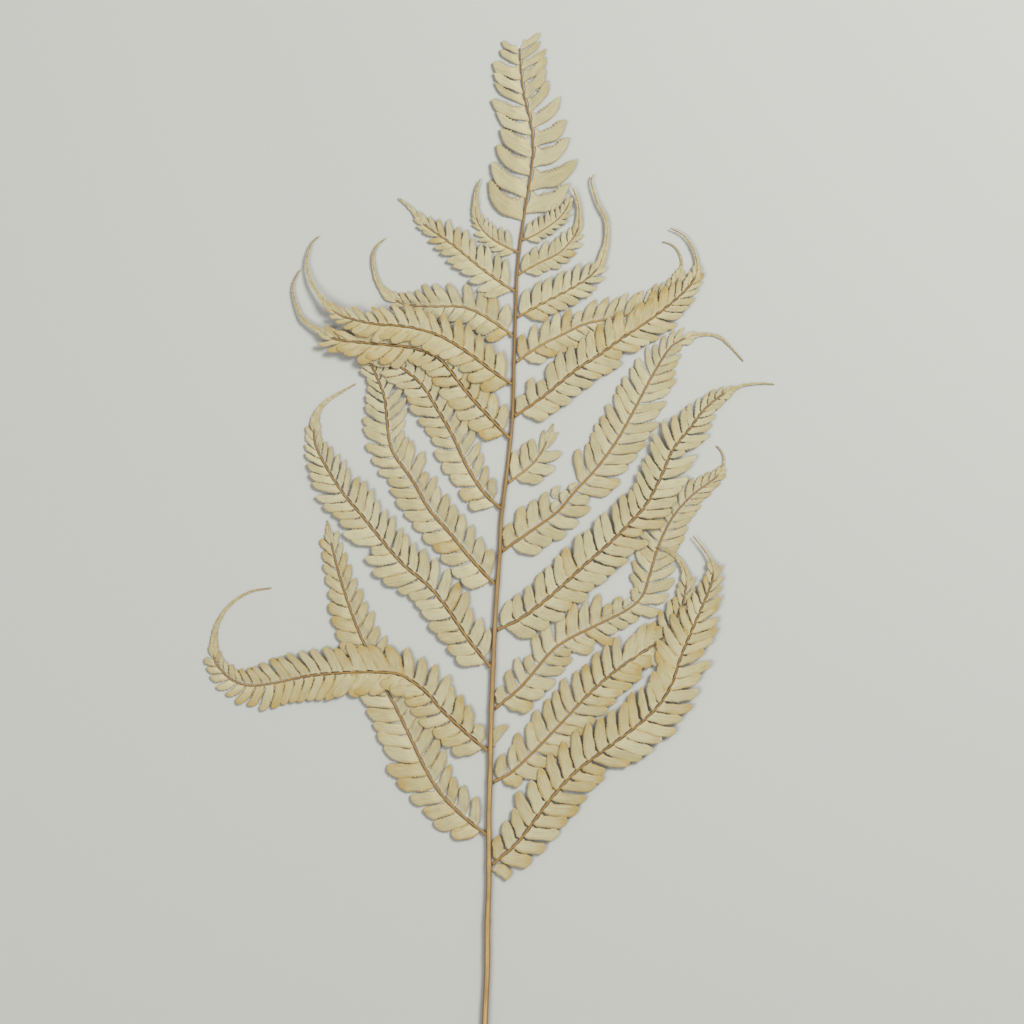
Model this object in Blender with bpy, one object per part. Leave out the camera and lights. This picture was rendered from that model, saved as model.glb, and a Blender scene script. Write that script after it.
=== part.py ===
"""A dried, pressed fern frond that lies face up on a flat surface.

The stem lies along +Y with its cut end at -Y and its tip at +Y. The surface is z = 0. The leafy side
branches, called pinnae, leave it in turn, and in places they lie over one another. Each pinna is one
thin blade cut into leaflets, with a midrib. Its midrib's route is a smooth curve through points chosen
by hand. All sizes below are in millimetres.
"""

import math
import random
from typing import NamedTuple

import bmesh
import bpy
from mathutils import Vector

MM = 0.001
SEED = 7
MIDDLE = (-2.6, 0.9)  # middle of the frond's outline among the points below; it becomes the origin

BLADE = 0.6  # thickness of every leaf blade
MIDRIB_RISE = 0.5  # how far a pinna's midrib stands above its blade
MIDRIB_SIDE = (1.3, 0.8)  # from the midrib's middle to the cut between two leaflets, at base and tip
ROOT_SIDE = 0.7  # half the midrib's width where it meets the stem
ROOT_GAP = 0.6  # left open between a midrib's root and the stem
BARE_ROOT = 2.0  # length of midrib with no leaflets, next to the stem
STEM_CLEAR = 1.0  # what a leaflet keeps from the stem
MIDRIB_FADE = 0.6  # share of its rise that a midrib loses on the way to its tip
LEAF_FILL = 0.93  # share of the room along the midrib that a leaflet fills
LEAF_STAGGER = 0.3  # the right-hand leaflets stand this share of a pitch further on
REACH_RANGE = (0.94, 1.05)  # a leaflet's length, drawn as a share of what the pinna gives
LEAN_REACH = 8.0  # a leaflet leans against the midrib's mean direction this far each way
TAIL_LEAN_REACH = 2.0
LEAN_RANGE = (-2.0, 2.0)  # degrees that its lean is drawn from
INNER_SQUEEZE = 1.0  # how much a leaflet narrows inside a bend of the midrib
INNER_SHORTEN = 0.5  # how much it shortens there
SHARPEST_INSIDE = 0.6  # the sharpest bend that still shortens it further
LEAST_SQUEEZE = 0.35
TIP_LIFT = 0.35  # how far a leaflet's tip may curl up
BROKEN_SHARE = 0.03  # of the leaflets are broken short
BROKEN_LEFT = 0.6  # share of its length that a broken one keeps
SHORTEN_TRIES = 8  # times that a leaflet is shortened to clear the stem
SHORTEN_STEP = 0.85
TAIL_PITCH = 8.0  # spacing of the tiny folded leaflets on a pinna's thin tail
TAIL_REACH = (2.6, 0.7)  # their length at the tail's start and end
TAIL_BARE = 0.6  # of a pitch, between the last of them and the pinna's tip
ROOT_SEARCH = 0.1  # step of the search for a root's place

# Outline of a leaflet from its lower base round the tip: along it, and across it towards the pinna's tip.
BROAD_LEAFLET = ((0.48, -0.48), (0.90, -0.26), (1.0, 0.20), (0.74, 0.46))
SMALL_LEAFLET = ((0.62, -0.45), (1.0, 0.10), (0.68, 0.46))
TAIL_LEAFLET = ((1.0, 0.0),)

STEM_SIDES = 8
STEM_STEP = 18.0  # between the rings of the stem
STEM_SHARP = 50.0  # edges of the stem sharper than this many degrees aren't smoothed
STEM_ROUTE = (
    (-5.0, -303.0), (-4.7, -285.0), (-3.5, -257.0), (-3.3, -229.0), (-2.5, -205.0), (-2.5, -180.0),
    (-2.5, -165.0), (-1.8, -142.0), (-1.3, -115.0), (-0.5, -90.0), (0.5, -66.0), (1.8, -38.0),
    (4.0, -8.0), (5.0, 14.0), (8.5, 42.0), (11.7, 74.6), (12.6, 107.7), (13.5, 135.7),
    (14.6, 163.0), (18.0, 191.0), (22.4, 218.5), (24.0, 235.0), (22.8, 250.0), (18.2, 270.0),
    (16.4, 288.0), (16.1, 296.5),
)
# Radius of the stem along its length: distance along +Y, then radius.
STEM_RADII = ((-303.0, 2.1), (-270.0, 1.75), (-229.0, 1.85), (-215.0, 1.7), (-90.0, 1.5), (60.0, 1.05),
              (200.0, 0.75), (296.5, 0.4))

# The lobes that grow straight from the stem's top: the lower end of each one's base, and its tip.
APEX_RIGHT = (
    ((18.9, 196.8), (46.4, 213.6)), ((21.2, 211.1), (50.0, 228.6)), ((23.0, 224.1), (45.4, 242.0)),
    ((24.0, 235.8), (43.8, 252.1)), ((23.1, 247.1), (40.0, 266.6)), ((21.5, 257.0), (32.8, 275.8)),
    ((19.6, 265.0), (31.2, 283.2)), ((17.6, 274.7), (31.8, 289.4)), ((16.8, 282.3), (31.8, 294.6)),
    ((16.4, 288.6), (28.4, 299.2)), ((16.2, 294.5), (28.0, 304.4)),
)
APEX_LEFT = (
    ((17.2, 190.6), (-2.8, 216.0)), ((19.6, 205.1), (-0.8, 227.4)), ((22.0, 218.6), (2.2, 238.0)),
    ((23.8, 230.6), (4.2, 247.0)), ((23.8, 243.0), (1.6, 256.6)), ((22.4, 252.0), (-1.0, 264.6)),
    ((20.5, 260.8), (0.6, 275.0)), ((18.4, 269.2), (0.6, 280.9)), ((17.2, 276.8), (-0.4, 286.8)),
    ((16.6, 285.6), (4.6, 295.0)), ((16.3, 292.4), (5.2, 299.6)),
)
APEX_TOPS = ((14.2, 297.2), (17.8, 300.4))  # upper end of the base of the last lobe on the left and the right
APEX_SIDE = 1.2  # from the stem's middle to the cut between two lobes
APEX_STEPS = 12  # along the middle of the lobed blade


class Pinna(NamedTuple):
    name: str
    route: tuple  # midrib from the stem to where the thin tail begins
    tail: tuple  # midrib of the tail
    pitch: tuple  # spacing of the leaflets at the base and at the tail's start
    reach: tuple  # length of the leaflets at even steps along the leafy stretch
    heights: tuple  # share of the whole length, and the height of the blade's middle there
    lean: tuple = (58.0, 48.0)  # angle between leaflet and midrib at the base and at the tail's start
    broad: bool = True  # the leaflets have the fuller outline
    short: tuple = ()  # broken runs: side, first and last leaflet, share of their length left


LEFT, RIGHT = 1, -1  # sides of a midrib, looking towards its tip
LOW = 0.3  # height of a blade's middle where the blade lies on the surface

PINNAE = (
    Pinna(
        "pinna_left_01",
        ((15.2, 173.2), (8.0, 176.5), (0.0, 181.0), (-6.0, 186.5), (-9.8, 193.0)),
        ((-10.6, 201.0), (-10.0, 210.0), (-7.8, 216.5)),
        (5.0, 3.6), (9.0, 8.5, 5.0), ((0.0, 0.9), (0.15, LOW), (0.45, LOW), (0.7, 2.0), (1.0, 2.2)),
        broad=False,
    ),
    Pinna(
        "pinna_left_02",
        ((13.0, 150.0), (5.7, 154.3), (-8.3, 164.6), (-24.2, 177.7), (-39.0, 188.0), (-42.0, 190.7)),
        ((-45.7, 195.4), (-50.3, 200.5), (-56.4, 205.2)),
        (6.4, 5.2), (14.0, 12.5, 11.5, 7.0), ((0.0, 0.9), (0.1, 1.6), (0.45, 1.8), (0.8, 0.4), (1.0, 0.5)),
        broad=False,
    ),
    Pinna(
        "pinna_left_03",
        ((11.7, 122.6), (6.6, 127.3), (-6.5, 135.7), (-18.6, 140.5), (-36.3, 140.7), (-52.2, 141.7),
         (-57.8, 144.1)),
        ((-63.4, 147.8), (-68.0, 153.4), (-71.0, 161.0), (-72.0, 171.0), (-69.0, 177.7), (-65.0, 181.0)),
        (8.2, 5.0), (13.0, 14.0, 12.5, 7.0), ((0.0, 1.0), (0.05, LOW), (0.6, LOW), (1.0, 1.5)),
        lean=(66.0, 56.0), broad=False,
    ),
    Pinna(
        "pinna_left_04",
        ((11.3, 94.1), (0.0, 101.6), (-13.0, 111.4), (-26.0, 119.8), (-37.3, 125.0), (-54.0, 128.7),
         (-71.0, 130.0), (-87.7, 133.8), (-92.3, 135.7)),
        ((-99.0, 141.3), (-108.2, 153.4), (-111.8, 166.5), (-109.0, 177.7), (-105.0, 182.3)),
        (8.2, 5.2), (13.5, 15.0, 14.0, 12.5, 7.0),
        ((0.0, 1.3), (0.03, 3.0), (0.07, 4.3), (0.15, 5.5), (0.22, 6.3), (0.3, 6.8), (0.7, 6.8), (0.85, 3.5),
         (1.0, 1.5)), broad=False,
    ),
    Pinna(
        "pinna_left_05",
        ((9.9, 61.7), (0.0, 72.0), (-14.0, 87.0), (-28.0, 105.0), (-35.4, 111.4), (-50.3, 116.0),
         (-69.0, 118.0), (-87.7, 119.8), (-97.0, 121.7)),
        ((-103.5, 125.6), (-114.7, 133.8), (-119.6, 147.8), (-119.4, 155.3), (-116.0, 162.3)),
        (8.4, 5.6), (13.0, 15.5, 16.0, 15.5, 12.0),
        ((0.0, 1.1), (0.05, 1.4), (0.11, 1.5), (0.19, 2.2), (0.26, 3.7), (0.32, 5.2), (0.7, 5.2), (0.85, 2.2),
         (1.0, 1.0)), broad=False,
    ),
    Pinna(
        "pinna_left_06",
        ((4.5, 19.7), (-5.5, 29.0), (-15.8, 45.0), (-24.0, 62.7), (-32.6, 77.6), (-43.0, 94.0),
         (-55.0, 104.0), (-65.3, 111.4), (-78.0, 116.4)),
        ((-84.0, 119.5), (-90.0, 124.0)),
        (8.6, 5.6), (13.0, 15.5, 16.0, 15.0, 10.0),
        ((0.0, 1.2), (0.1, LOW), (0.38, LOW), (0.48, 1.5), (0.61, 3.2), (0.7, 3.6), (1.0, 3.6)), broad=False,
    ),
    Pinna(
        "pinna_left_07",
        ((0.6, -25.6), (-13.0, -11.0), (-26.0, 4.8), (-38.2, 18.8), (-48.4, 36.5), (-60.6, 54.3),
         (-63.6, 72.0), (-65.3, 87.0), (-71.8, 103.0), (-76.5, 112.3)),
        ((-79.0, 116.0), (-83.0, 121.0)),
        (8.8, 5.6), (14.0, 17.0, 17.0, 15.0, 10.0),
        ((0.0, 1.2), (0.1, LOW), (0.66, LOW), (0.77, 1.9), (1.0, 1.9)),
    ),
    Pinna(
        "pinna_left_08",
        ((-1.5, -75.5), (-15.5, -58.0), (-27.0, -41.0), (-38.5, -27.0), (-54.0, -14.0), (-68.0, 2.0),
         (-79.2, 16.0), (-89.5, 28.0), (-99.8, 44.0), (-106.3, 57.0), (-107.4, 66.0)),
        ((-106.0, 75.7), (-102.6, 81.3), (-97.0, 86.0), (-90.5, 89.7), (-83.0, 94.0)),
        (8.8, 5.4), (15.0, 17.5, 17.5, 16.5, 6.5),
        ((0.0, 1.4), (0.06, 1.7), (0.62, 1.9), (0.75, LOW), (1.0, LOW)),
    ),
    Pinna(
        "pinna_left_09",
        ((-3.5, -125.5), (-15.0, -116.0), (-30.0, -102.0), (-39.0, -91.5), (-48.0, -84.5), (-58.0, -79.5),
         (-79.0, -78.6), (-107.0, -80.4), (-131.5, -85.2), (-146.0, -86.7), (-156.6, -83.3),
         (-163.4, -77.0), (-167.0, -71.5)),
        ((-167.6, -63.0), (-165.6, -50.0), (-157.6, -38.0), (-146.0, -30.6), (-133.4, -28.2)),
        (8.6, 5.0), (15.0, 17.5, 17.5, 15.5, 6.5),
        ((0.0, 1.4), (0.05, 1.6), (0.1, 1.9), (0.42, 1.9), (0.55, LOW), (1.0, LOW)), lean=(58.0, 66.0),
    ),
    Pinna(
        "pinna_left_10",
        ((-4.0, -176.0), (-17.0, -166.0), (-31.0, -152.0), (-41.0, -136.0), (-50.0, -117.0),
         (-59.0, -98.5), (-69.0, -80.0), (-76.4, -64.0), (-84.6, -44.0), (-92.4, -20.0), (-96.2, -4.5)),
        ((-98.0, 2.0), (-99.5, 12.0)),
        (9.6, 7.6), (15.0, 21.0, 18.0, 13.5, 10.0), ((0.0, 1.4), (0.06, LOW), (1.0, LOW)),
    ),
    Pinna(
        "pinna_right_01",
        ((18.0, 180.5), (25.0, 183.5), (33.0, 188.5), (40.0, 194.0), (45.0, 201.0)),
        ((46.5, 207.0),),
        (4.6, 3.8), (7.5, 8.0, 7.5, 3.2), ((0.0, 0.9), (0.4, 1.6), (1.0, 2.2)), broad=False,
    ),
    Pinna(
        "pinna_right_02",
        ((15.4, 160.0), (28.0, 167.0), (40.0, 173.0), (48.5, 182.3), (51.0, 187.0)),
        ((51.6, 193.0), (51.4, 200.0), (50.0, 206.0), (47.8, 211.5)),
        (5.8, 4.8), (9.0, 10.0, 9.5, 5.0), ((0.0, 1.0), (0.15, LOW), (0.6, LOW), (0.75, 2.2), (1.0, 3.6)),
        broad=False,
    ),
    Pinna(
        "pinna_right_03",
        ((15.4, 134.7), (30.0, 142.7), (43.0, 149.2), (55.0, 156.2), (60.7, 161.0)),
        ((64.4, 166.5), (68.0, 180.5), (67.7, 192.6), (62.5, 203.0), (58.8, 215.0), (59.8, 219.0)),
        (7.4, 5.6), (12.0, 13.0, 12.5, 8.0), ((0.0, 1.0), (0.06, 1.4), (0.14, 1.9), (1.0, 2.6)), broad=False,
    ),
    Pinna(
        "pinna_right_04",
        ((14.5, 107.7), (28.0, 117.0), (43.0, 124.5), (56.0, 130.5), (72.8, 133.8), (91.5, 139.4),
         (104.5, 148.7), (109.2, 154.3)),
        ((112.2, 161.0), (113.0, 168.0), (110.5, 174.5), (106.4, 178.0), (101.7, 179.5)),
        (7.6, 5.2), (12.0, 14.0, 14.0, 13.0, 7.0), ((0.0, 1.0), (0.1, LOW), (1.0, LOW)), broad=False,
    ),
    Pinna(
        "pinna_right_05",
        ((13.4, 75.0), (30.6, 87.0), (49.5, 102.5), (63.5, 111.4), (77.5, 121.7), (93.3, 132.0),
         (106.4, 142.2), (116.7, 151.5), (121.5, 159.0)),
        ((122.3, 166.0), (120.0, 175.0), (114.5, 183.0), (106.4, 187.5)),
        (8.0, 5.4), (13.0, 15.5, 16.0, 14.5, 7.0),
        ((0.0, 1.1), (0.08, 0.9), (0.2, 1.6), (0.28, 1.9), (1.0, 1.9)), broad=False,
    ),
    Pinna(
        "pinna_right_06",
        ((9.6, 35.4), (17.0, 40.6), (23.8, 46.3), (28.3, 52.0), (31.0, 57.0)),
        ((33.4, 63.0), (36.0, 70.0)),
        (8.2, 7.0), (14.0, 15.0, 11.0), ((0.0, 1.1), (0.2, LOW), (1.0, LOW)), lean=(58.0, 42.0),
        broad=False,
    ),
    Pinna(
        "pinna_right_07",
        ((5.9, -5.8), (22.5, 5.8), (38.7, 17.6), (48.8, 29.3), (62.4, 44.0), (74.8, 61.0),
         (85.0, 79.2), (95.2, 98.5), (105.5, 115.0), (112.0, 120.0), (115.7, 121.7)),
        ((121.3, 123.5), (128.8, 124.0), (135.3, 122.6), (140.5, 118.5), (150.0, 108.0)),
        (9.0, 5.6), (15.0, 18.0, 19.0, 17.5, 8.0), ((0.0, 1.2), (0.08, LOW), (1.0, LOW)),
        short=((LEFT, 4, 6, 0.35),),
    ),
    Pinna(
        "pinna_right_08",
        ((2.9, -53.0), (15.5, -47.2), (29.0, -37.5), (42.5, -26.0), (54.0, -15.3), (71.5, 0.2),
         (83.0, 11.8), (92.0, 22.0), (101.0, 39.0), (107.7, 54.5), (118.0, 67.4), (127.0, 79.2),
         (138.3, 88.3)),
        ((145.0, 91.7), (152.0, 93.8), (161.0, 94.5), (168.5, 94.0)),
        (8.8, 5.4), (15.0, 18.0, 18.0, 16.5, 6.0),
        ((0.0, 1.3), (0.05, 1.6), (0.1, 1.9), (0.2, 2.0), (0.35, 3.4), (0.62, 3.4), (0.8, 1.0), (1.0, LOW)),
    ),
    Pinna(
        "pinna_right_09",
        ((1.9, -100.0), (17.4, -86.8), (33.8, -67.5), (44.5, -59.3), (61.0, -51.0), (80.2, -41.4),
         (89.5, -33.0), (93.5, -22.0), (99.6, -2.2), (108.0, 14.5), (119.0, 27.0), (130.4, 35.6),
         (135.0, 39.5)),
        ((137.8, 44.0), (138.3, 49.7), (136.6, 54.2), (134.0, 57.0)),
        (8.8, 5.4), (15.0, 18.0, 16.0, 17.0, 6.5), ((0.0, 1.4), (0.08, LOW), (1.0, LOW)),
        short=((LEFT, 10, 13, 0.55), (RIGHT, 9, 11, 0.6)),
    ),
    Pinna(
        "pinna_right_10",
        ((0.6, -144.3), (11.3, -138.5), (25.8, -125.0), (41.2, -109.0), (56.7, -92.6), (72.5, -78.6),
         (90.0, -66.5), (100.5, -59.7), (107.3, -49.6), (113.5, -39.0), (115.2, -30.3)),
        ((116.0, -23.5), (115.0, -17.7), (112.0, -12.0), (107.3, -7.5), (98.5, -3.0)),
        (8.8, 6.4), (15.0, 18.0, 18.0, 17.0, 8.0),
        ((0.0, 1.4), (0.08, LOW), (0.3, LOW), (0.45, 1.9), (1.0, 1.9)),
    ),
    Pinna(
        "pinna_right_11",
        ((0.1, -193.6), (15.0, -180.5), (25.3, -167.0), (36.4, -152.5), (50.0, -138.0), (67.3, -125.0),
         (88.6, -109.0), (100.2, -97.4), (107.5, -85.0), (112.0, -71.0), (118.4, -55.4),
         (124.2, -42.0), (130.0, -28.3), (132.0, -21.6)),
        ((131.5, -15.8), (129.5, -10.0), (125.7, -4.2), (120.0, 3.0)),
        (9.6, 6.4), (17.0, 21.0, 20.0, 18.5, 8.0),
        ((0.0, 1.5), (0.05, 1.7), (0.1, 1.9), (0.25, 1.9), (0.42, 3.4), (0.85, 3.4), (1.0, 2.6)),
    ),
)


def between(keys, x):
    """The value at x of straight lines through (place, value) keys."""
    if x <= keys[0][0]:
        return keys[0][1]
    for (x0, y0), (x1, y1) in zip(keys, keys[1:]):
        if x <= x1:
            return y0 + (y1 - y0) * (x - x0) / (x1 - x0)
    return keys[-1][1]


def even_keys(values):
    """Keys that spread values evenly from 0 to 1."""
    return tuple((i / (len(values) - 1), value) for i, value in enumerate(values))


def turned(vector, degrees):
    """A plan vector turned anticlockwise, seen from above."""
    angle = math.radians(degrees)
    cos, sin = math.cos(angle), math.sin(angle)
    return Vector((vector.x * cos - vector.y * sin, vector.x * sin + vector.y * cos))


class Route:
    """A smooth plan curve through points, read by the distance along it."""

    STEPS = 12  # straight pieces between two of the points

    def __init__(self, points):
        points = [Vector(point) for point in points]
        ends = [2 * points[0] - points[1], *points, 2 * points[-1] - points[-2]]
        self.points = [points[0]]
        self.marks = [0.0]  # distance along the curve of each point it was made from
        self.lengths = [0.0]
        for a, b, c, d in zip(ends, ends[1:], ends[2:], ends[3:]):
            for step in range(1, self.STEPS + 1):
                t = step / self.STEPS
                self._add(self._blend(a, b, c, d, t))
            self.marks.append(self.lengths[-1])
        self.length = self.lengths[-1]

    @staticmethod
    def _blend(a, b, c, d, t):
        return 0.5 * (
            2 * b + (c - a) * t + (2 * a - 5 * b + 4 * c - d) * t**2 + (3 * b - a - 3 * c + d) * t**3
        )

    def _add(self, point):
        self.lengths.append(self.lengths[-1] + (point - self.points[-1]).length)
        self.points.append(point)

    def at(self, distance):
        distance = min(max(distance, 0.0), self.length)
        for i in range(1, len(self.lengths)):
            if distance <= self.lengths[i]:
                share = (distance - self.lengths[i - 1]) / (self.lengths[i] - self.lengths[i - 1])
                return self.points[i - 1].lerp(self.points[i], share)
        return self.points[-1]

    def direction(self, distance, reach=2.0):
        return (self.at(distance + reach) - self.at(distance - reach)).normalized()

    def bend(self, distance, reach=6.0):
        """How sharply the curve turns left there, in radians for each millimetre."""
        before = self.direction(distance - reach)
        after = self.direction(distance + reach)
        return math.atan2(before.x * after.y - before.y * after.x, before.dot(after)) / (2 * reach)

    def nearest(self, point):
        """Distance along the curve of the place nearest to a point, and how far off that is."""
        best = min(range(len(self.points)), key=lambda i: (self.points[i] - point).length)
        return self.lengths[best], (self.points[best] - point).length


class Blade:
    """A thin blade, built from points of its middle surface and the triangles between them."""

    def __init__(self):
        self.points = []
        self.rises = []
        self.triangles = []

    def add(self, plan, height, rise=0.0):
        self.points.append(Vector((plan.x, plan.y, height)))
        self.rises.append(rise)
        return len(self.points) - 1

    def triangle(self, a, b, c):
        """Adds a triangle that faces up, and nothing if two of its corners are the same."""
        if len({a, b, c}) < 3:
            return
        first, second, third = self.points[a], self.points[b], self.points[c]
        up = (second - first).cross(third - first).z
        self.triangles.append((a, b, c) if up > 0 else (a, c, b))

    def strip(self, first, second):
        """Fills the room between two rows of (distance, point)."""
        i = j = 0
        while i < len(first) - 1 or j < len(second) - 1:
            on_first = j == len(second) - 1 or (
                i < len(first) - 1 and first[i + 1][0] <= second[j + 1][0]
            )
            if on_first:
                self.triangle(first[i][1], second[j][1], first[i + 1][1])
                i += 1
            else:
                self.triangle(first[i][1], second[j][1], second[j + 1][1])
                j += 1

    def leaflet(self, low, high, start, along, across, outline, lift):
        """Fills a leaflet between two cuts. along and across hold its length and its width."""
        rim = []
        for u, v in outline:
            height = (self.points[low].z + self.points[high].z) / 2 + lift * u
            rim.append(self.add(start + along * u + across * v, height))
        self.triangle(rim[0], high, low)
        loop = [*rim, high]
        for b, c in zip(loop[1:], loop[2:]):
            self.triangle(rim[0], b, c)

    def mesh(self, name):
        """The closed mesh: the same triangles above and below, and walls round their edge."""
        work = bmesh.new()
        half = BLADE / 2
        top = [
            work.verts.new((p + Vector((0, 0, half + rise))) * MM)
            for p, rise in zip(self.points, self.rises)
        ]
        bottom = [work.verts.new((p - Vector((0, 0, half))) * MM) for p in self.points]
        edges = set()
        for a, b, c in self.triangles:
            work.faces.new((top[a], top[b], top[c]))
            work.faces.new((bottom[c], bottom[b], bottom[a]))
            edges |= {(a, b), (b, c), (c, a)}
        for a, b in sorted(edges):
            if (b, a) not in edges:
                work.faces.new((top[b], top[a], bottom[a], bottom[b]))
        mesh = bpy.data.meshes.new(name)
        work.to_mesh(mesh)
        work.free()
        return mesh


def clear_scene():
    for old in list(bpy.data.objects):
        bpy.data.objects.remove(old, do_unlink=True)


def make_material(name, colour, roughness):
    material = bpy.data.materials.new(name)
    material.use_nodes = True
    shader = material.node_tree.nodes["Principled BSDF"]
    shader.inputs["Base Color"].default_value = (*colour, 1.0)
    shader.inputs["Roughness"].default_value = roughness
    shader.inputs["Metallic"].default_value = 0.0
    return material


def put_in_scene(name, mesh, material):
    made = bpy.data.objects.new(name, mesh)
    made.location = (-MIDDLE[0] * MM, -MIDDLE[1] * MM, 0.0)
    mesh.materials.clear()
    mesh.materials.append(material)
    bpy.context.scene.collection.objects.link(made)
    return made


def stem_radius(y):
    return between(STEM_RADII, y)


def stem_height(y):
    """Height of the stem's middle: one of its flat sides lies on the surface all the way."""
    return stem_radius(y) * math.cos(math.pi / STEM_SIDES)


def stem_tube(route):
    """The stem as rings of points joined into a closed tube, narrowing to its tip."""
    work = bmesh.new()
    count = round(route.length / STEM_STEP)
    rings = []
    for i in range(count + 1):
        middle = route.at(route.length * i / count)
        side = turned(route.direction(route.length * i / count), -90)
        radius = stem_radius(middle.y)
        ring = []
        for corner in range(STEM_SIDES):
            angle = 2 * math.pi * (corner + 0.5) / STEM_SIDES
            plan = middle + side * radius * math.sin(angle)
            height = stem_height(middle.y) - radius * math.cos(angle)
            ring.append(work.verts.new(Vector((plan.x, plan.y, height)) * MM))
        rings.append(ring)
    for ring, following in zip(rings, rings[1:]):
        for corner in range(STEM_SIDES):
            other = (corner + 1) % STEM_SIDES
            work.faces.new((ring[corner], ring[other], following[other], following[corner]))
    work.faces.new(list(reversed(rings[0])))
    work.faces.new(rings[-1])
    bmesh.ops.recalc_face_normals(work, faces=work.faces)
    mesh = bpy.data.meshes.new("stem")
    work.to_mesh(mesh)
    work.free()
    mesh.shade_smooth()
    mesh.set_sharp_from_angle(angle=math.radians(STEM_SHARP))
    return mesh


def apex_blade(route):
    """The lobed blade that the top of the stem grows into."""
    blade = Blade()
    rows = {}
    for side, lobes, top in ((LEFT, APEX_LEFT, APEX_TOPS[0]), (RIGHT, APEX_RIGHT, APEX_TOPS[1])):
        row = []
        for base, _ in lobes:
            cut = route.nearest(Vector(base))[0]
            middle = route.at(cut)
            plan = middle + turned(route.direction(cut), 90 * side) * APEX_SIDE
            row.append((cut, blade.add(plan, stem_height(middle.y))))
        row.append((route.length, blade.add(Vector(top), stem_height(top[1]))))
        tips = [Vector(tip) for _, tip in lobes]
        for i, tip in enumerate(tips):
            first, second = row[i][1], row[i + 1][1]
            start = (blade.points[first].xy + blade.points[second].xy) / 2
            along = tip - start
            across = turned(along.normalized(), -90 * side)
            room = (blade.points[second].xy - blade.points[first].xy).dot(across)
            for other in tips[max(i - 1, 0) : i] + tips[i + 1 : i + 2]:
                room = min(room, abs((other - tip).dot(across)))
            blade.leaflet(first, second, start, along, across * room * LEAF_FILL, BROAD_LEAFLET, 0.0)
        rows[side] = row
    middle_row = []
    first_cut = min(rows[LEFT][0][0], rows[RIGHT][0][0])
    for i in range(APEX_STEPS + 1):
        cut = first_cut + (route.length - first_cut) * i / APEX_STEPS
        middle = route.at(cut)
        middle_row.append((cut, blade.add(middle, stem_height(middle.y))))
    blade.strip(middle_row, rows[LEFT])
    blade.strip(middle_row, rows[RIGHT])
    return blade.mesh("apex")


def join_into(body, other):
    """Unites two closed objects and drops the second one."""
    union = body.modifiers.new("join", "BOOLEAN")
    union.operation = "UNION"
    union.solver = "EXACT"
    union.object = other
    graph = bpy.context.evaluated_depsgraph_get()
    joined = bpy.data.meshes.new_from_object(body.evaluated_get(graph))
    body.modifiers.clear()
    body.data = joined
    bpy.data.objects.remove(other, do_unlink=True)


def make_stem(route, material):
    stem = put_in_scene("stem", stem_tube(route), material)
    apex = put_in_scene("apex", apex_blade(route), material)
    join_into(stem, apex)
    stem.data.name = "stem"


def root_start(route, stem):
    """Distance along a pinna's midrib where its root is clear of the stem."""
    distance = 0.0
    while True:
        point = route.at(distance)
        near, off = stem.nearest(point)
        slant = abs(route.direction(distance).dot(stem.direction(near)))
        if off - ROOT_SIDE * slant >= stem_radius(point.y) + ROOT_GAP:
            return distance
        distance += ROOT_SEARCH


def cuts_of(pinna, start, tail_start, end):
    """Distances of the cuts between leaflets and on along the tail, and how many leaflets a side has."""
    cuts = [start + BARE_ROOT]
    while cuts[-1] < tail_start - pinna.pitch[1] / 2:
        share = (cuts[-1] - start) / (tail_start - start)
        cuts.append(cuts[-1] + pinna.pitch[0] + (pinna.pitch[1] - pinna.pitch[0]) * share)
    leafy = len(cuts) - 1
    count = max(1, round((end - cuts[-1]) / TAIL_PITCH - TAIL_BARE))
    step = (end - cuts[-1]) / (count + TAIL_BARE)
    cuts += [cuts[-1] + step * (i + 1) for i in range(count)]
    return cuts, leafy


def clear_of_stem(stem, start, along, across, outline):
    """A leaflet's length and direction, made shorter until its outline is clear of the stem."""
    for _ in range(SHORTEN_TRIES):
        rim = [start + along * u + across * v for u, v in outline]
        if all(stem.nearest(p)[1] > stem_radius(p.y) + STEM_CLEAR for p in rim):
            break
        along = along * SHORTEN_STEP
    return along


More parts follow.
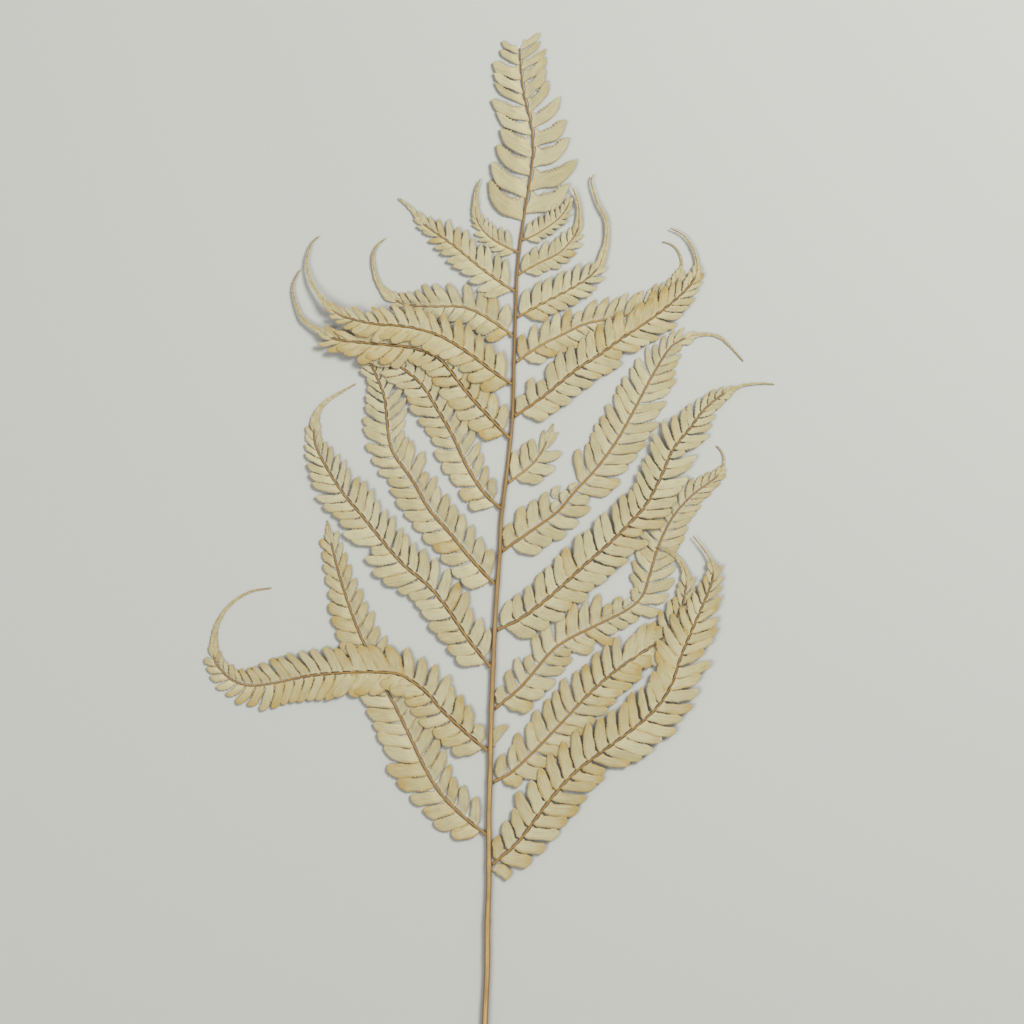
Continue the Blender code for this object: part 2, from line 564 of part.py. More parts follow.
def make_pinna(pinna, stem, material):
    draw = random.Random(f"{SEED} {pinna.name}")
    route = Route(pinna.route + pinna.tail)
    tail_start = route.marks[len(pinna.route) - 1]
    start = root_start(route, stem)
    cuts, leafy = cuts_of(pinna, start, tail_start, route.length)
    blade = Blade()
    reach_keys = even_keys(pinna.reach)

    def height(distance):
        return between(pinna.heights, distance / route.length)

    def add_beside(distance, side, offset):
        plan = route.at(distance) + turned(route.direction(distance), 90 * side) * offset
        return blade.add(plan, height(distance))

    root = (start, blade.add(route.at(start), height(start), MIDRIB_RISE))
    tip = (route.length, blade.add(route.at(route.length), height(route.length)))
    middle_row = [root]
    for i, cut in enumerate(cuts):
        if i % 2 and i < leafy:
            continue
        rise = MIDRIB_RISE * (1 - MIDRIB_FADE * cut / route.length)
        middle_row.append((cut, blade.add(route.at(cut), height(cut), rise)))
    middle_row.append(tip)
    for side in (LEFT, RIGHT):
        stagger = 0.0 if side == LEFT else LEAF_STAGGER
        row = []
        for i, cut in enumerate(cuts):
            room = cuts[min(i + 1, len(cuts) - 1)] - cuts[min(i, len(cuts) - 2)]
            place = cut + stagger * room
            offset = MIDRIB_SIDE[0] + (MIDRIB_SIDE[1] - MIDRIB_SIDE[0]) * min(1.0, cut / tail_start)
            row.append((place, add_beside(place, side, offset)))
        for i, ((low_at, low), (high_at, high)) in enumerate(zip(row, row[1:])):
            middle_at = (low_at + high_at) / 2
            begin = (blade.points[low].xy + blade.points[high].xy) / 2
            direction = route.direction(middle_at, LEAN_REACH if i < leafy else TAIL_LEAN_REACH)
            if i < leafy:
                share = i / max(1, leafy - 1)
                reach = between(reach_keys, share) * draw.uniform(*REACH_RANGE)
                outline = BROAD_LEAFLET if pinna.broad else SMALL_LEAFLET
            else:
                share = 1.0
                tail_share = (i - leafy) / max(1, len(row) - 2 - leafy)
                reach = TAIL_REACH[0] + (TAIL_REACH[1] - TAIL_REACH[0]) * tail_share
                outline = TAIL_LEAFLET
            if draw.random() < BROKEN_SHARE and i < leafy:
                reach *= BROKEN_LEFT
            for broken_side, first, last, left in pinna.short:
                if side == broken_side and first <= i <= last:
                    reach *= left
            lean = pinna.lean[0] + (pinna.lean[1] - pinna.lean[0]) * share + draw.uniform(*LEAN_RANGE)
            leaf_way = turned(direction, side * lean)
            across = turned(leaf_way, -90 * side)
            room = (blade.points[high].xy - blade.points[low].xy).dot(across)
            inside = max(0.0, side * route.bend(middle_at, LEAN_REACH)) * reach
            squeeze = max(LEAST_SQUEEZE, 1 - INNER_SQUEEZE * inside)
            reach *= 1 - INNER_SHORTEN * min(inside, SHARPEST_INSIDE)
            lift = draw.uniform(0.0, TIP_LIFT) if i < leafy else 0.0
            across = across * room * LEAF_FILL * squeeze
            along = clear_of_stem(stem, begin, leaf_way * reach, across, outline)
            blade.leaflet(low, high, begin, along, across, outline, lift)
        root_side = (start, add_beside(start, side, ROOT_SIDE))
        blade.strip(middle_row, [root_side, *row, tip])
    put_in_scene(pinna.name, blade.mesh(pinna.name), material)


def main():
    clear_scene()
    stem_material = make_material("dried stem", (0.57, 0.33, 0.11), 0.6)
    leaf_material = make_material("dried leaf", (0.66, 0.54, 0.34), 0.75)
    stem = Route(STEM_ROUTE)
    make_stem(stem, stem_material)
    for pinna in PINNAE:
        make_pinna(pinna, stem, leaf_material)


main()
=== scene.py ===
"""A dried, pressed fern frond that lies face up on a pale floor and is seen from straight above.

The CAD solids give each pinna's place. Here each pinna becomes a grooved midrib with leaflets as thin as
dried leaf, and the stem becomes a stalk with a lobed top. The plant's sizes are in millimetres, in the
drawing coordinates of the solids' source, and MIDDLE moves them to the shared origin. The floor and the
lights are placed in metres.
"""

import math
import random
from typing import NamedTuple

import bpy
import numpy as np
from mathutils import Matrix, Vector, noise


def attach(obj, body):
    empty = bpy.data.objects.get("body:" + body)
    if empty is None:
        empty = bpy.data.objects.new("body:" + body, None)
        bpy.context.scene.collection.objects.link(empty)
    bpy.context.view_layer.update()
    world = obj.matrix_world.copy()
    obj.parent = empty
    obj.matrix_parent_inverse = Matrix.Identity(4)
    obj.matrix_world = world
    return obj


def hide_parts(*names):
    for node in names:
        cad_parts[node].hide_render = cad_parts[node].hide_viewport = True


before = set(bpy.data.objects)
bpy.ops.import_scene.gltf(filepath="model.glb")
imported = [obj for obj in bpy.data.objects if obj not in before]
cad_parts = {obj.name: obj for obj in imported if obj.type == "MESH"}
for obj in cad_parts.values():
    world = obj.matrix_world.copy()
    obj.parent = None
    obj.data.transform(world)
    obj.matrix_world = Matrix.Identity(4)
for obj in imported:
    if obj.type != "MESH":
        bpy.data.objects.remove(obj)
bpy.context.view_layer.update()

MM = 0.001
SEED = 7
MIDDLE = (-2.6, 0.9)

# The camera hangs over the middle of the picture, which shows a square this wide.
PICTURE_MIDDLE = (11.4, 17.4)
PICTURE_WIDE = 614.4
CAMERA_HIGH = 2200.0
SENSOR_WIDE = 36.0
FLOOR_WIDE = 6.0  # in metres

# Midrib
MIDRIB_RADIUS = (0.78, 0.42)  # at the root and where the tail begins
TAIL_RADIUS = 0.22  # of the midrib at its very tip
TAIL_TAPER = 0.6  # power of its taper: below 1 it thins soon
RIB_LIFT = 0.12  # of the midrib above the blade's middle
RIB_SIDES = 10
RIB_STEP = 1.4
TUBE_END = 0.6  # size of a tube's end rings, which round its edge
YOUNG = 0.25  # a pinna whose small value is over this has a young midrib
ROOT_DEPTH = 0.6  # share of the stem's radius at which a midrib starts inside the stem
ROOT_SWELL = (0.35, 2.5)  # how much thicker a midrib is at its root, and the length that this takes
SOLID_RIB = 0.7  # half width of the solid's midrib
SOLID_CLEAR = 0.6  # room between the solid's midrib and the stem
WALK = 0.1  # step of a search along a midrib

# Blade
LAMINA = 0.22  # thickness of the leaf away from its margin
FLOOR_GAP = 0.02  # least room between a leaf and the floor
SETTLE_FROM = 1.0  # above this height the thin leaves lie closer on one another than the solid's blades do,
SETTLE = 0.6  # at this share of the height that is left
RISE = (0.45, 1.0)  # of a leaflet above its base, where the blade is off the floor and where it lies on it
FULL_WIDTH = 6.0  # a narrower leaflet has a shallower relief
ARCH = 0.07  # height of a leaflet's middle over its margins
GROOVE = 0.05  # depth of the groove down its middle
TILT = (-0.16, 0.12)  # rise of the margin on the side of the pinna's tip
WAVE = (0.07, 1.6)  # height, and number to a leaflet, of the waves across it
RIPPLE = (0.04, 4.5)  # the same for the ripples of its margins
TIP_LIFT = 0.35  # most that a tip curls up
MARGIN_WAVE = 0.08  # share by which a leaflet swells and shrinks along its length

# Leaflets along a midrib
MIDRIB_SIDE = (1.08, 0.7)  # from the midrib's middle to the start of a leaflet, at base and tip
SUNK = 0.4  # share of the midrib's radius that stays between its middle and a leaflet's base
BARE_ROOT = 2.0  # stretch of the midrib with no leaflet
STEM_CLEAR = 0.5  # least room between a leaflet and the stem
STAGGER = 0.3  # the right-hand leaflets stand this share of a pitch further on
LEAN_REACH = 8.0  # length over which a midrib's direction and bend are read
LEAF_FILL = 0.93  # width of a leaflet as a share of its room, less the crowding inside a bend,
LEAST_FILL = 0.8  # but at least this share
LEAST_WIDTH = 2.4
INNER_SHORTEN = 0.5  # share of the crowding that comes off the length,
INSIDE_MOST = 0.6  # for crowding up to this much
BROKEN_SHARE = 0.03  # of the leaflets are torn off short,
BROKEN_LEFT = 0.6  # with this share of their length left
SHORT_TORN = 0.5  # share of the leaflets of a broken run that have a torn end
LENGTHS = (0.94, 1.05)  # spread of the leaflets' lengths, as in the solids
LEANS = (-2.0, 2.0)  # spread of their lean in degrees, as in the solids
FINE_LENGTHS = (0.93, 1.05)  # spreads that only the thin leaves have
FINE_LEANS = (-4.0, 4.0)
FINE_WIDTHS = (0.93, 1.18)
UPPER_LEAN = 5.0  # degrees that the leaflets of a right-hand pinna lean out more on the frond's tip side,
UNDER_LEAN = -3.0  # and on its stem side
FOLD_FROM = 0.68  # share of the leafy stretch from which the leaflets fold forward
FOLD_LEAN = 20.0  # degrees that the last ones fold forward
ALL_GOLD = 0.05  # share of the leaflets that have turned golden all over
CRUSHED_GOLD = (0.6, 1.0)  # how golden the leaflets of a crushed run are, how much further their tips
CRUSHED_LIFT = 0.4  # curl up, how much wider they are, and how many degrees they are turned
CRUSHED_WIDER = 1.35
CRUSHED_TURN = (-6.0, 16.0)

# What changes on the small pinnae of the frond's top
SMALL_REACH = (0.28, -0.12)  # how much longer their leaflets are on the upper and the under side
SMALL_WIDER = 0.22
SMALL_GAP = 0.4  # how much nearer to the midrib's middle their leaflets start
SMALL_RIB = 0.45  # how much thinner their midribs are

# The folded leaflets that cover a pinna's tail, at even steps along it
TAIL_PITCH = 1.9
TAIL_REACH = (7.0, 5.5, 4.6, 3.4, 2.2)
TAIL_LEAN = (20.0, 11.0, 9.0, 7.0, 5.0)
TAIL_WIDTH = (2.8, 1.8, 1.4, 1.0, 0.5)
TAIL_LEAST = (0.5, 0.3, 0.2)  # shares of length, lean and width that don't follow the pinna's tail_fill
TAIL_LENGTHS = (0.9, 1.1)
TAIL_LEANS = (-1.5, 1.5)
TAIL_HEIGHTS = (-0.05, 0.12)
TAIL_MOST = 1.1  # most of the length of the last open leaflet that a folded one has
TAIL_PAST = 2.0  # most that the last ones reach past the midrib's end
TAIL_SIDE = 0.1  # from the midrib's middle to their start
TAIL_CURL = 0.15

# Stem: the route of its middle and its radius along y
STEM_ROUTE = (
    (-5.0, -303.0), (-4.7, -285.0), (-3.5, -257.0), (-3.3, -229.0), (-2.5, -205.0), (-2.5, -180.0),
    (-2.5, -165.0), (-1.8, -142.0), (-1.3, -115.0), (-0.5, -90.0), (0.5, -66.0), (1.8, -38.0),
    (4.0, -8.0), (5.0, 14.0), (8.5, 42.0), (11.7, 74.6), (12.6, 107.7), (13.5, 135.7),
    (14.6, 163.0), (18.0, 191.0), (22.4, 218.5), (24.0, 235.0), (22.8, 250.0), (18.2, 270.0),
    (16.4, 288.0), (16.1, 296.5),
)
STEM_RADII = ((-303.0, 2.1), (-270.0, 1.75), (-229.0, 1.85), (-215.0, 1.7), (-90.0, 1.5), (60.0, 1.05),
              (200.0, 0.75), (296.5, 0.4))
STEM_SIDES = 8  # of the solid, whose flat side gives the height of the stem's middle
STALK_SHARE = 0.92  # radius of the fine stalk as a share of the solid's
STALK_SWELL = (0.17, 3.0)  # how much thicker the stalk is where a pinna joins it, and half how far that goes
STALK_JOINTS = (-228.0, -247.0)  # faint rings where lower pinnae have dropped off
STALK_RING = (0.07, 1.6)  # how much thicker it is there, and half how far that goes
STALK_GROOVE = (0.13, 0.28)  # depth as a share of the radius, and half the angle that it takes
PITH = 0.5  # depth of the hollow in the cut end
STALK_SIDES = 24
STALK_STEP = 1.3
STALK_SHORT = 1.0  # the stalk ends this far below the tip of the top

# The lobes that grow straight from the stem's top: the lower end of each one's base, and its tip.
APEX_RIGHT = (
    ((18.9, 196.8), (46.4, 213.6)), ((21.2, 211.1), (50.0, 228.6)), ((23.0, 224.1), (45.4, 242.0)),
    ((24.0, 235.8), (43.8, 252.1)), ((23.1, 247.1), (40.0, 266.6)), ((21.5, 257.0), (32.8, 275.8)),
    ((19.6, 265.0), (31.2, 283.2)), ((17.6, 274.7), (31.8, 289.4)), ((16.8, 282.3), (31.8, 294.6)),
    ((16.4, 288.6), (28.4, 299.2)), ((16.2, 294.5), (28.0, 304.4)),
)
APEX_LEFT = (
    ((17.2, 190.6), (-2.8, 216.0)), ((19.6, 205.1), (-0.8, 227.4)), ((22.0, 218.6), (2.2, 238.0)),
    ((23.8, 230.6), (4.2, 247.0)), ((23.8, 243.0), (1.6, 256.6)), ((22.4, 252.0), (-1.0, 264.6)),
    ((20.5, 260.8), (0.6, 275.0)), ((18.4, 269.2), (0.6, 280.9)), ((17.2, 276.8), (-0.4, 286.8)),
    ((16.6, 285.6), (4.6, 295.0)), ((16.3, 292.4), (5.2, 299.6)),
)
APEX_TOPS = ((14.2, 297.2), (17.8, 300.4))  # upper end of the base of the last lobe on the left and the right
APEX_SIDE = 0.9  # from the stem's middle to the start of a lobe
APEX_SUNK = 0.8  # how far a lobe's base is sunk back into the stem
APEX_FILL = 0.97  # width of a lobe as a share of its room
APEX_SLANT = 1.5  # most that a lobe's base slants
APEX_CURL = (-0.1, 0.3)
APEX_GOLD = 0.12
APEX_TEETH = (4.2, 3.4, 2.4, 0.7, 0.4, 0.3)  # height of the teeth from the lowest lobe up

# Leaflets that stand apart: pinna, start, tip, width, height, and whether the end is torn off.
STRAYS = (
    ("right_11", (0.8, -195.5), (10.0, -201.8), 6.6, 0.8, True),
    ("left_09", (-1.2, -122.0), (7.6, -110.3), 5.6, 0.7, False),
    ("right_07", (37.5, 25.5), (38.5, 33.0), 4.2, 0.5, False),
    ("right_10", (57.0, -99.0), (71.5, -96.0), 5.2, 0.9, False),
)
STRAY_CURL = 0.4
STRAY_GOLD = (0.5, 0.8)  # of a whole one and of a torn one


class Pinna(NamedTuple):
    name: str
    route: tuple  # midrib from the stem to where the thin tail begins
    tail: tuple  # midrib of the tail
    pitch: tuple  # spacing of the leaflets at the base and at the tail's start
    reach: tuple  # length of the leaflets at even steps along the leafy stretch
    heights: tuple  # share of the whole length, and the height of the blade's middle there
    lean: tuple = (58.0, 48.0)  # angle between leaflet and midrib at the base and at the tail's start
    short: tuple = ()  # broken runs: side, first and last leaflet, share of their length left
    gold: float = 0.35  # how far the leaflets have turned golden
    small: float = 0.0  # how far the leaflets are the pointed, joined ones of the frond's top
    tail_fill: float = 1.0  # how wide the band of folded leaflets on the tail is
    crushed: tuple = ()  # runs of golden leaflets pressed across one another: side, first and last leaflet


LEFT, RIGHT = 1, -1  # sides of a midrib, looking towards its tip
LOW = 0.3  # height of a blade's middle where the blade lies on the floor

PINNAE = (
    Pinna(
        "left_01",
        ((15.2, 173.2), (8.0, 176.5), (0.0, 181.0), (-6.0, 186.5), (-9.8, 193.0)),
        ((-10.6, 201.0), (-10.0, 210.0), (-7.8, 216.5)),
        (5.0, 3.6), (9.0, 8.5, 5.0), ((0.0, 0.9), (0.15, LOW), (0.45, LOW), (0.7, 2.0), (1.0, 2.2)),
        gold=0.3, small=0.8),
    Pinna(
        "left_02",
        ((13.0, 150.0), (5.7, 154.3), (-8.3, 164.6), (-24.2, 177.7), (-39.0, 188.0), (-42.0, 190.7)),
        ((-45.7, 195.4), (-50.3, 200.5), (-56.4, 205.2)),
        (6.4, 5.2), (14.0, 12.5, 11.5, 7.0), ((0.0, 0.9), (0.1, 1.6), (0.45, 1.8), (0.8, 0.4), (1.0, 0.5)),
        gold=0.25, small=0.5),
    Pinna(
        "left_03",
        ((11.7, 122.6), (6.6, 127.3), (-6.5, 135.7), (-18.6, 140.5), (-36.3, 140.7), (-52.2, 141.7),
         (-57.8, 144.1)),
        ((-63.4, 147.8), (-68.0, 153.4), (-71.0, 161.0), (-72.0, 171.0), (-69.0, 177.7), (-65.0, 181.0)),
        (8.2, 5.0), (13.0, 14.0, 12.5, 7.0), ((0.0, 1.0), (0.05, LOW), (0.6, LOW), (1.0, 1.5)),
        lean=(66.0, 56.0), gold=0.35, small=0.35),
    Pinna(
        "left_04",
        ((11.3, 94.1), (0.0, 101.6), (-13.0, 111.4), (-26.0, 119.8), (-37.3, 125.0), (-54.0, 128.7),
         (-71.0, 130.0), (-87.7, 133.8), (-92.3, 135.7)),
        ((-99.0, 141.3), (-108.2, 153.4), (-111.8, 166.5), (-109.0, 177.7), (-105.0, 182.3)),
        (8.2, 5.2), (13.5, 15.0, 14.0, 12.5, 7.0),
        ((0.0, 1.3), (0.03, 3.0), (0.07, 4.3), (0.15, 5.5), (0.22, 6.3), (0.3, 6.8), (0.7, 6.8), (0.85, 3.5),
         (1.0, 1.5)), gold=0.6, small=0.2, tail_fill=0.8, crushed=((LEFT, 5, 13),)),
    Pinna(
        "left_05",
        ((9.9, 61.7), (0.0, 72.0), (-14.0, 87.0), (-28.0, 105.0), (-35.4, 111.4), (-50.3, 116.0),
         (-69.0, 118.0), (-87.7, 119.8), (-97.0, 121.7)),
        ((-103.5, 125.6), (-114.7, 133.8), (-119.6, 147.8), (-119.4, 155.3), (-116.0, 162.3)),
        (8.4, 5.6), (13.0, 15.5, 16.0, 15.5, 12.0),
        ((0.0, 1.1), (0.05, 1.4), (0.11, 1.5), (0.19, 2.2), (0.26, 3.7), (0.32, 5.2), (0.7, 5.2), (0.85, 2.2),
         (1.0, 1.0)), gold=0.55, tail_fill=0.75, crushed=((RIGHT, 8, 15), (LEFT, 11, 16))),
    Pinna(
        "left_06",
        ((4.5, 19.7), (-5.5, 29.0), (-15.8, 45.0), (-24.0, 62.7), (-32.6, 77.6), (-43.0, 94.0),
         (-55.0, 104.0), (-65.3, 111.4), (-78.0, 116.4)),
        ((-84.0, 119.5), (-90.0, 124.0)),
        (8.6, 5.6), (13.0, 15.5, 16.0, 15.0, 10.0),
        ((0.0, 1.2), (0.1, LOW), (0.38, LOW), (0.48, 1.5), (0.61, 3.2), (0.7, 3.6), (1.0, 3.6)), gold=0.4),
    Pinna(
        "left_07",
        ((0.6, -25.6), (-13.0, -11.0), (-26.0, 4.8), (-38.2, 18.8), (-48.4, 36.5), (-60.6, 54.3),
         (-63.6, 72.0), (-65.3, 87.0), (-71.8, 103.0), (-76.5, 112.3)),
        ((-79.0, 116.0), (-83.0, 121.0)),
        (8.8, 5.6), (14.0, 17.0, 17.0, 15.0, 10.0),
        ((0.0, 1.2), (0.1, LOW), (0.66, LOW), (0.77, 1.9), (1.0, 1.9)), gold=0.3),
    Pinna(
        "left_08",
        ((-1.5, -75.5), (-15.5, -58.0), (-27.0, -41.0), (-38.5, -27.0), (-54.0, -14.0), (-68.0, 2.0),
         (-79.2, 16.0), (-89.5, 28.0), (-99.8, 44.0), (-106.3, 57.0), (-107.4, 66.0)),
        ((-106.0, 75.7), (-102.6, 81.3), (-97.0, 86.0), (-90.5, 89.7), (-83.0, 94.0)),
        (8.8, 5.4), (15.0, 17.5, 17.5, 16.5, 6.5),
        ((0.0, 1.4), (0.06, 1.7), (0.62, 1.9), (0.75, LOW), (1.0, LOW)), gold=0.35),
    Pinna(
        "left_09",
        ((-3.5, -125.5), (-15.0, -116.0), (-30.0, -102.0), (-39.0, -91.5), (-48.0, -84.5), (-58.0, -79.5),
         (-79.0, -78.6), (-107.0, -80.4), (-131.5, -85.2), (-146.0, -86.7), (-156.6, -83.3),
         (-163.4, -77.0), (-167.0, -71.5)),
        ((-167.6, -63.0), (-165.6, -50.0), (-157.6, -38.0), (-146.0, -30.6), (-133.4, -28.2)),
        (8.6, 5.0), (15.0, 17.5, 17.5, 15.5, 6.5),
        ((0.0, 1.4), (0.05, 1.6), (0.1, 1.9), (0.42, 1.9), (0.55, LOW), (1.0, LOW)), lean=(58.0, 66.0),
        gold=0.6, tail_fill=0.85, crushed=((LEFT, 6, 12), (RIGHT, 8, 11))),
    Pinna(
        "left_10",
        ((-4.0, -176.0), (-17.0, -166.0), (-31.0, -152.0), (-41.0, -136.0), (-50.0, -117.0),
         (-59.0, -98.5), (-69.0, -80.0), (-76.4, -64.0), (-84.6, -44.0), (-92.4, -20.0), (-96.2, -4.5)),
        ((-98.0, 2.0), (-99.5, 12.0)),
        (9.6, 7.6), (15.0, 21.0, 18.0, 13.5, 10.0), ((0.0, 1.4), (0.06, LOW), (1.0, LOW)), gold=0.5),
    Pinna(
        "right_01",
        ((18.0, 180.5), (25.0, 183.5), (33.0, 188.5), (40.0, 194.0), (45.0, 201.0)),
        ((46.5, 207.0),),
        (4.6, 3.8), (7.5, 8.0, 7.5, 3.6), ((0.0, 0.9), (0.4, 1.6), (1.0, 2.2)), gold=0.2, small=1.0),
    Pinna(
        "right_02",
        ((15.4, 160.0), (28.0, 167.0), (40.0, 173.0), (48.5, 182.3), (51.0, 187.0)),
        ((51.6, 193.0), (51.4, 200.0), (50.0, 206.0), (47.8, 211.5)),
        (5.8, 4.8), (9.0, 10.0, 9.5, 5.0), ((0.0, 1.0), (0.15, LOW), (0.6, LOW), (0.75, 2.2), (1.0, 3.6)),
        gold=0.25, small=0.65),
    Pinna(
        "right_03",
        ((15.4, 134.7), (30.0, 142.7), (43.0, 149.2), (55.0, 156.2), (60.7, 161.0)),
        ((64.4, 166.5), (68.0, 180.5), (67.7, 192.6), (62.5, 203.0), (58.8, 215.0), (59.8, 219.0)),
        (7.4, 5.6), (12.0, 13.0, 12.5, 8.0), ((0.0, 1.0), (0.06, 1.4), (0.14, 1.9), (1.0, 2.6)),
        gold=0.3, small=0.45),
    Pinna(
        "right_04",
        ((14.5, 107.7), (28.0, 117.0), (43.0, 124.5), (56.0, 130.5), (72.8, 133.8), (91.5, 139.4),
         (104.5, 148.7), (109.2, 154.3)),
        ((112.2, 161.0), (113.0, 168.0), (110.5, 174.5), (106.4, 178.0), (101.7, 179.5)),
        (7.6, 5.2), (12.0, 14.0, 14.0, 13.0, 7.0), ((0.0, 1.0), (0.1, LOW), (1.0, LOW)),
        gold=0.4, small=0.3, tail_fill=0.35),
    Pinna(
        "right_05",
        ((13.4, 75.0), (30.6, 87.0), (49.5, 102.5), (63.5, 111.4), (77.5, 121.7), (93.3, 132.0),
         (106.4, 142.2), (116.7, 151.5), (121.5, 159.0)),
        ((122.3, 166.0), (120.0, 175.0), (114.5, 183.0), (106.4, 187.5)),
        (8.0, 5.4), (13.0, 15.5, 16.0, 14.5, 7.0),
        ((0.0, 1.1), (0.08, 0.9), (0.2, 1.6), (0.28, 1.9), (1.0, 1.9)),
        gold=0.4, small=0.15, tail_fill=0.55, crushed=((LEFT, 10, 15),)),
    Pinna(
        "right_06",
        ((9.6, 35.4), (17.0, 40.6), (23.8, 46.3), (28.3, 52.0), (31.0, 57.0)),
        ((33.4, 63.0), (36.0, 70.0)),
        (8.2, 7.0), (14.0, 15.0, 11.0), ((0.0, 1.1), (0.2, LOW), (1.0, LOW)),
        lean=(58.0, 42.0), gold=0.3, small=0.3),
    Pinna(
        "right_07",
        ((5.9, -5.8), (22.5, 5.8), (38.7, 17.6), (48.8, 29.3), (62.4, 44.0), (74.8, 61.0),
         (85.0, 79.2), (95.2, 98.5), (105.5, 115.0), (112.0, 120.0), (115.7, 121.7)),
        ((121.3, 123.5), (128.8, 124.0), (135.3, 122.6), (140.5, 118.5), (150.0, 108.0)),
        (9.0, 5.6), (15.0, 18.0, 19.0, 17.5, 8.0), ((0.0, 1.2), (0.08, LOW), (1.0, LOW)),
        short=((LEFT, 4, 6, 0.35),), gold=0.3, tail_fill=0.6),
    Pinna(
        "right_08",
        ((2.9, -53.0), (15.5, -47.2), (29.0, -37.5), (42.5, -26.0), (54.0, -15.3), (71.5, 0.2),
         (83.0, 11.8), (92.0, 22.0), (101.0, 39.0), (107.7, 54.5), (118.0, 67.4), (127.0, 79.2),
         (138.3, 88.3)),
        ((145.0, 91.7), (152.0, 93.8), (161.0, 94.5), (168.5, 94.0)),
        (8.8, 5.4), (15.0, 18.0, 18.0, 16.5, 6.0),
        ((0.0, 1.3), (0.05, 1.6), (0.1, 1.9), (0.2, 2.0), (0.35, 3.4), (0.62, 3.4), (0.8, 1.0), (1.0, LOW)),
        gold=0.3, tail_fill=0.55),
    Pinna(
        "right_09",
        ((1.9, -100.0), (17.4, -86.8), (33.8, -67.5), (44.5, -59.3), (61.0, -51.0), (80.2, -41.4),
         (89.5, -33.0), (93.5, -22.0), (99.6, -2.2), (108.0, 14.5), (119.0, 27.0), (130.4, 35.6),
         (135.0, 39.5)),
        ((137.8, 44.0), (138.3, 49.7), (136.6, 54.2), (134.0, 57.0)),
        (8.8, 5.4), (15.0, 18.0, 16.0, 17.0, 6.5), ((0.0, 1.4), (0.08, LOW), (1.0, LOW)),
        short=((LEFT, 10, 13, 0.55), (RIGHT, 9, 11, 0.6)), gold=0.4, tail_fill=0.45),
    Pinna(
        "right_10",
        ((0.6, -144.3), (11.3, -138.5), (25.8, -125.0), (41.2, -109.0), (56.7, -92.6), (72.5, -78.6),
         (90.0, -66.5), (100.5, -59.7), (107.3, -49.6), (113.5, -39.0), (115.2, -30.3)),
        ((116.0, -23.5), (115.0, -17.7), (112.0, -12.0), (107.3, -7.5), (98.5, -3.0)),
        (8.8, 6.4), (15.0, 18.0, 18.0, 17.0, 8.0),
        ((0.0, 1.4), (0.08, LOW), (0.3, LOW), (0.45, 1.9), (1.0, 1.9)),
        gold=0.55, crushed=((RIGHT, 12, 16), (LEFT, 13, 16))),
    Pinna(
        "right_11",
        ((0.1, -193.6), (15.0, -180.5), (25.3, -167.0), (36.4, -152.5), (50.0, -138.0), (67.3, -125.0),
         (88.6, -109.0), (100.2, -97.4), (107.5, -85.0), (112.0, -71.0), (118.4, -55.4),
         (124.2, -42.0), (130.0, -28.3), (132.0, -21.6)),
        ((131.5, -15.8), (129.5, -10.0), (125.7, -4.2), (120.0, 3.0)),
        (9.6, 6.4), (17.0, 21.0, 20.0, 18.5, 8.0),
        ((0.0, 1.5), (0.05, 1.7), (0.1, 1.9), (0.25, 1.9), (0.42, 3.4), (0.85, 3.4), (1.0, 2.6)),
        gold=0.6, tail_fill=0.5, crushed=((LEFT, 16, 19),)),
)

STATIONS = (0.0, 0.03, 0.07, 0.11, 0.2, 0.4, 0.7, 1.0)  # shares of a leaflet's length


class LeafShape(NamedTuple):
    """Half widths of a leaflet at the stations, as shares of its width, before its tip narrows."""

    lower: tuple  # on the side of the pinna's base
    upper: tuple  # on the side of the pinna's tip
    lower_tip: tuple  # where the tip begins to narrow on each side, and how pointed it is
    upper_tip: tuple
    sweep: float  # how far the tip swings towards the pinna's tip, in widths
    bow: float  # how far the middle bows towards the pinna's base, as a share of the length
    joined: float  # the base grows from the midrib up to this place across it, from -1 to 1
    ear_gap: float  # room left between the ear and the midrib, in millimetres
    teeth: tuple  # height of the teeth on the lower and the upper margin, in millimetres
    tooth_pitch: float
    rows: int
    columns: tuple


FINE_COLUMNS = (-1.0, -0.8, -0.45, -0.12, 0.0, 0.12, 0.45, 0.8, 1.0)
UPPER_LEAFLET = LeafShape(
    lower=(0.4, 0.46, 0.51, 0.54, 0.57, 0.57, 0.52, 0.4),
    upper=(0.46, 0.57, 0.51, 0.37, 0.34, 0.34, 0.31, 0.27),
    lower_tip=(0.52, 0.58), upper_tip=(0.7, 0.58), sweep=0.06, bow=0.012, joined=-0.6, ear_gap=0.15,
    teeth=(0.6, 0.4), tooth_pitch=1.8, rows=28, columns=FINE_COLUMNS,
)
UNDER_LEAFLET = LeafShape(
    lower=(0.4, 0.46, 0.51, 0.54, 0.58, 0.63, 0.63, 0.55),
    upper=(0.46, 0.56, 0.49, 0.37, 0.35, 0.37, 0.38, 0.36),
    lower_tip=(0.66, 0.6), upper_tip=(0.85, 0.5), sweep=0.02, bow=0.028, joined=-0.5, ear_gap=0.05,
    teeth=(0.7, 0.4), tooth_pitch=1.9, rows=28, columns=FINE_COLUMNS,
)
SMALL_LEAFLET = LeafShape(
    lower=(0.55, 0.56, 0.56, 0.54, 0.5, 0.44, 0.33, 0.2),
    upper=(0.55, 0.56, 0.54, 0.5, 0.45, 0.4, 0.29, 0.18),
    lower_tip=(0.5, 0.8), upper_tip=(0.6, 0.8), sweep=0.1, bow=0.0, joined=0.6, ear_gap=0.0,
    teeth=(0.25, 0.2), tooth_pitch=1.4, rows=28, columns=FINE_COLUMNS,
)
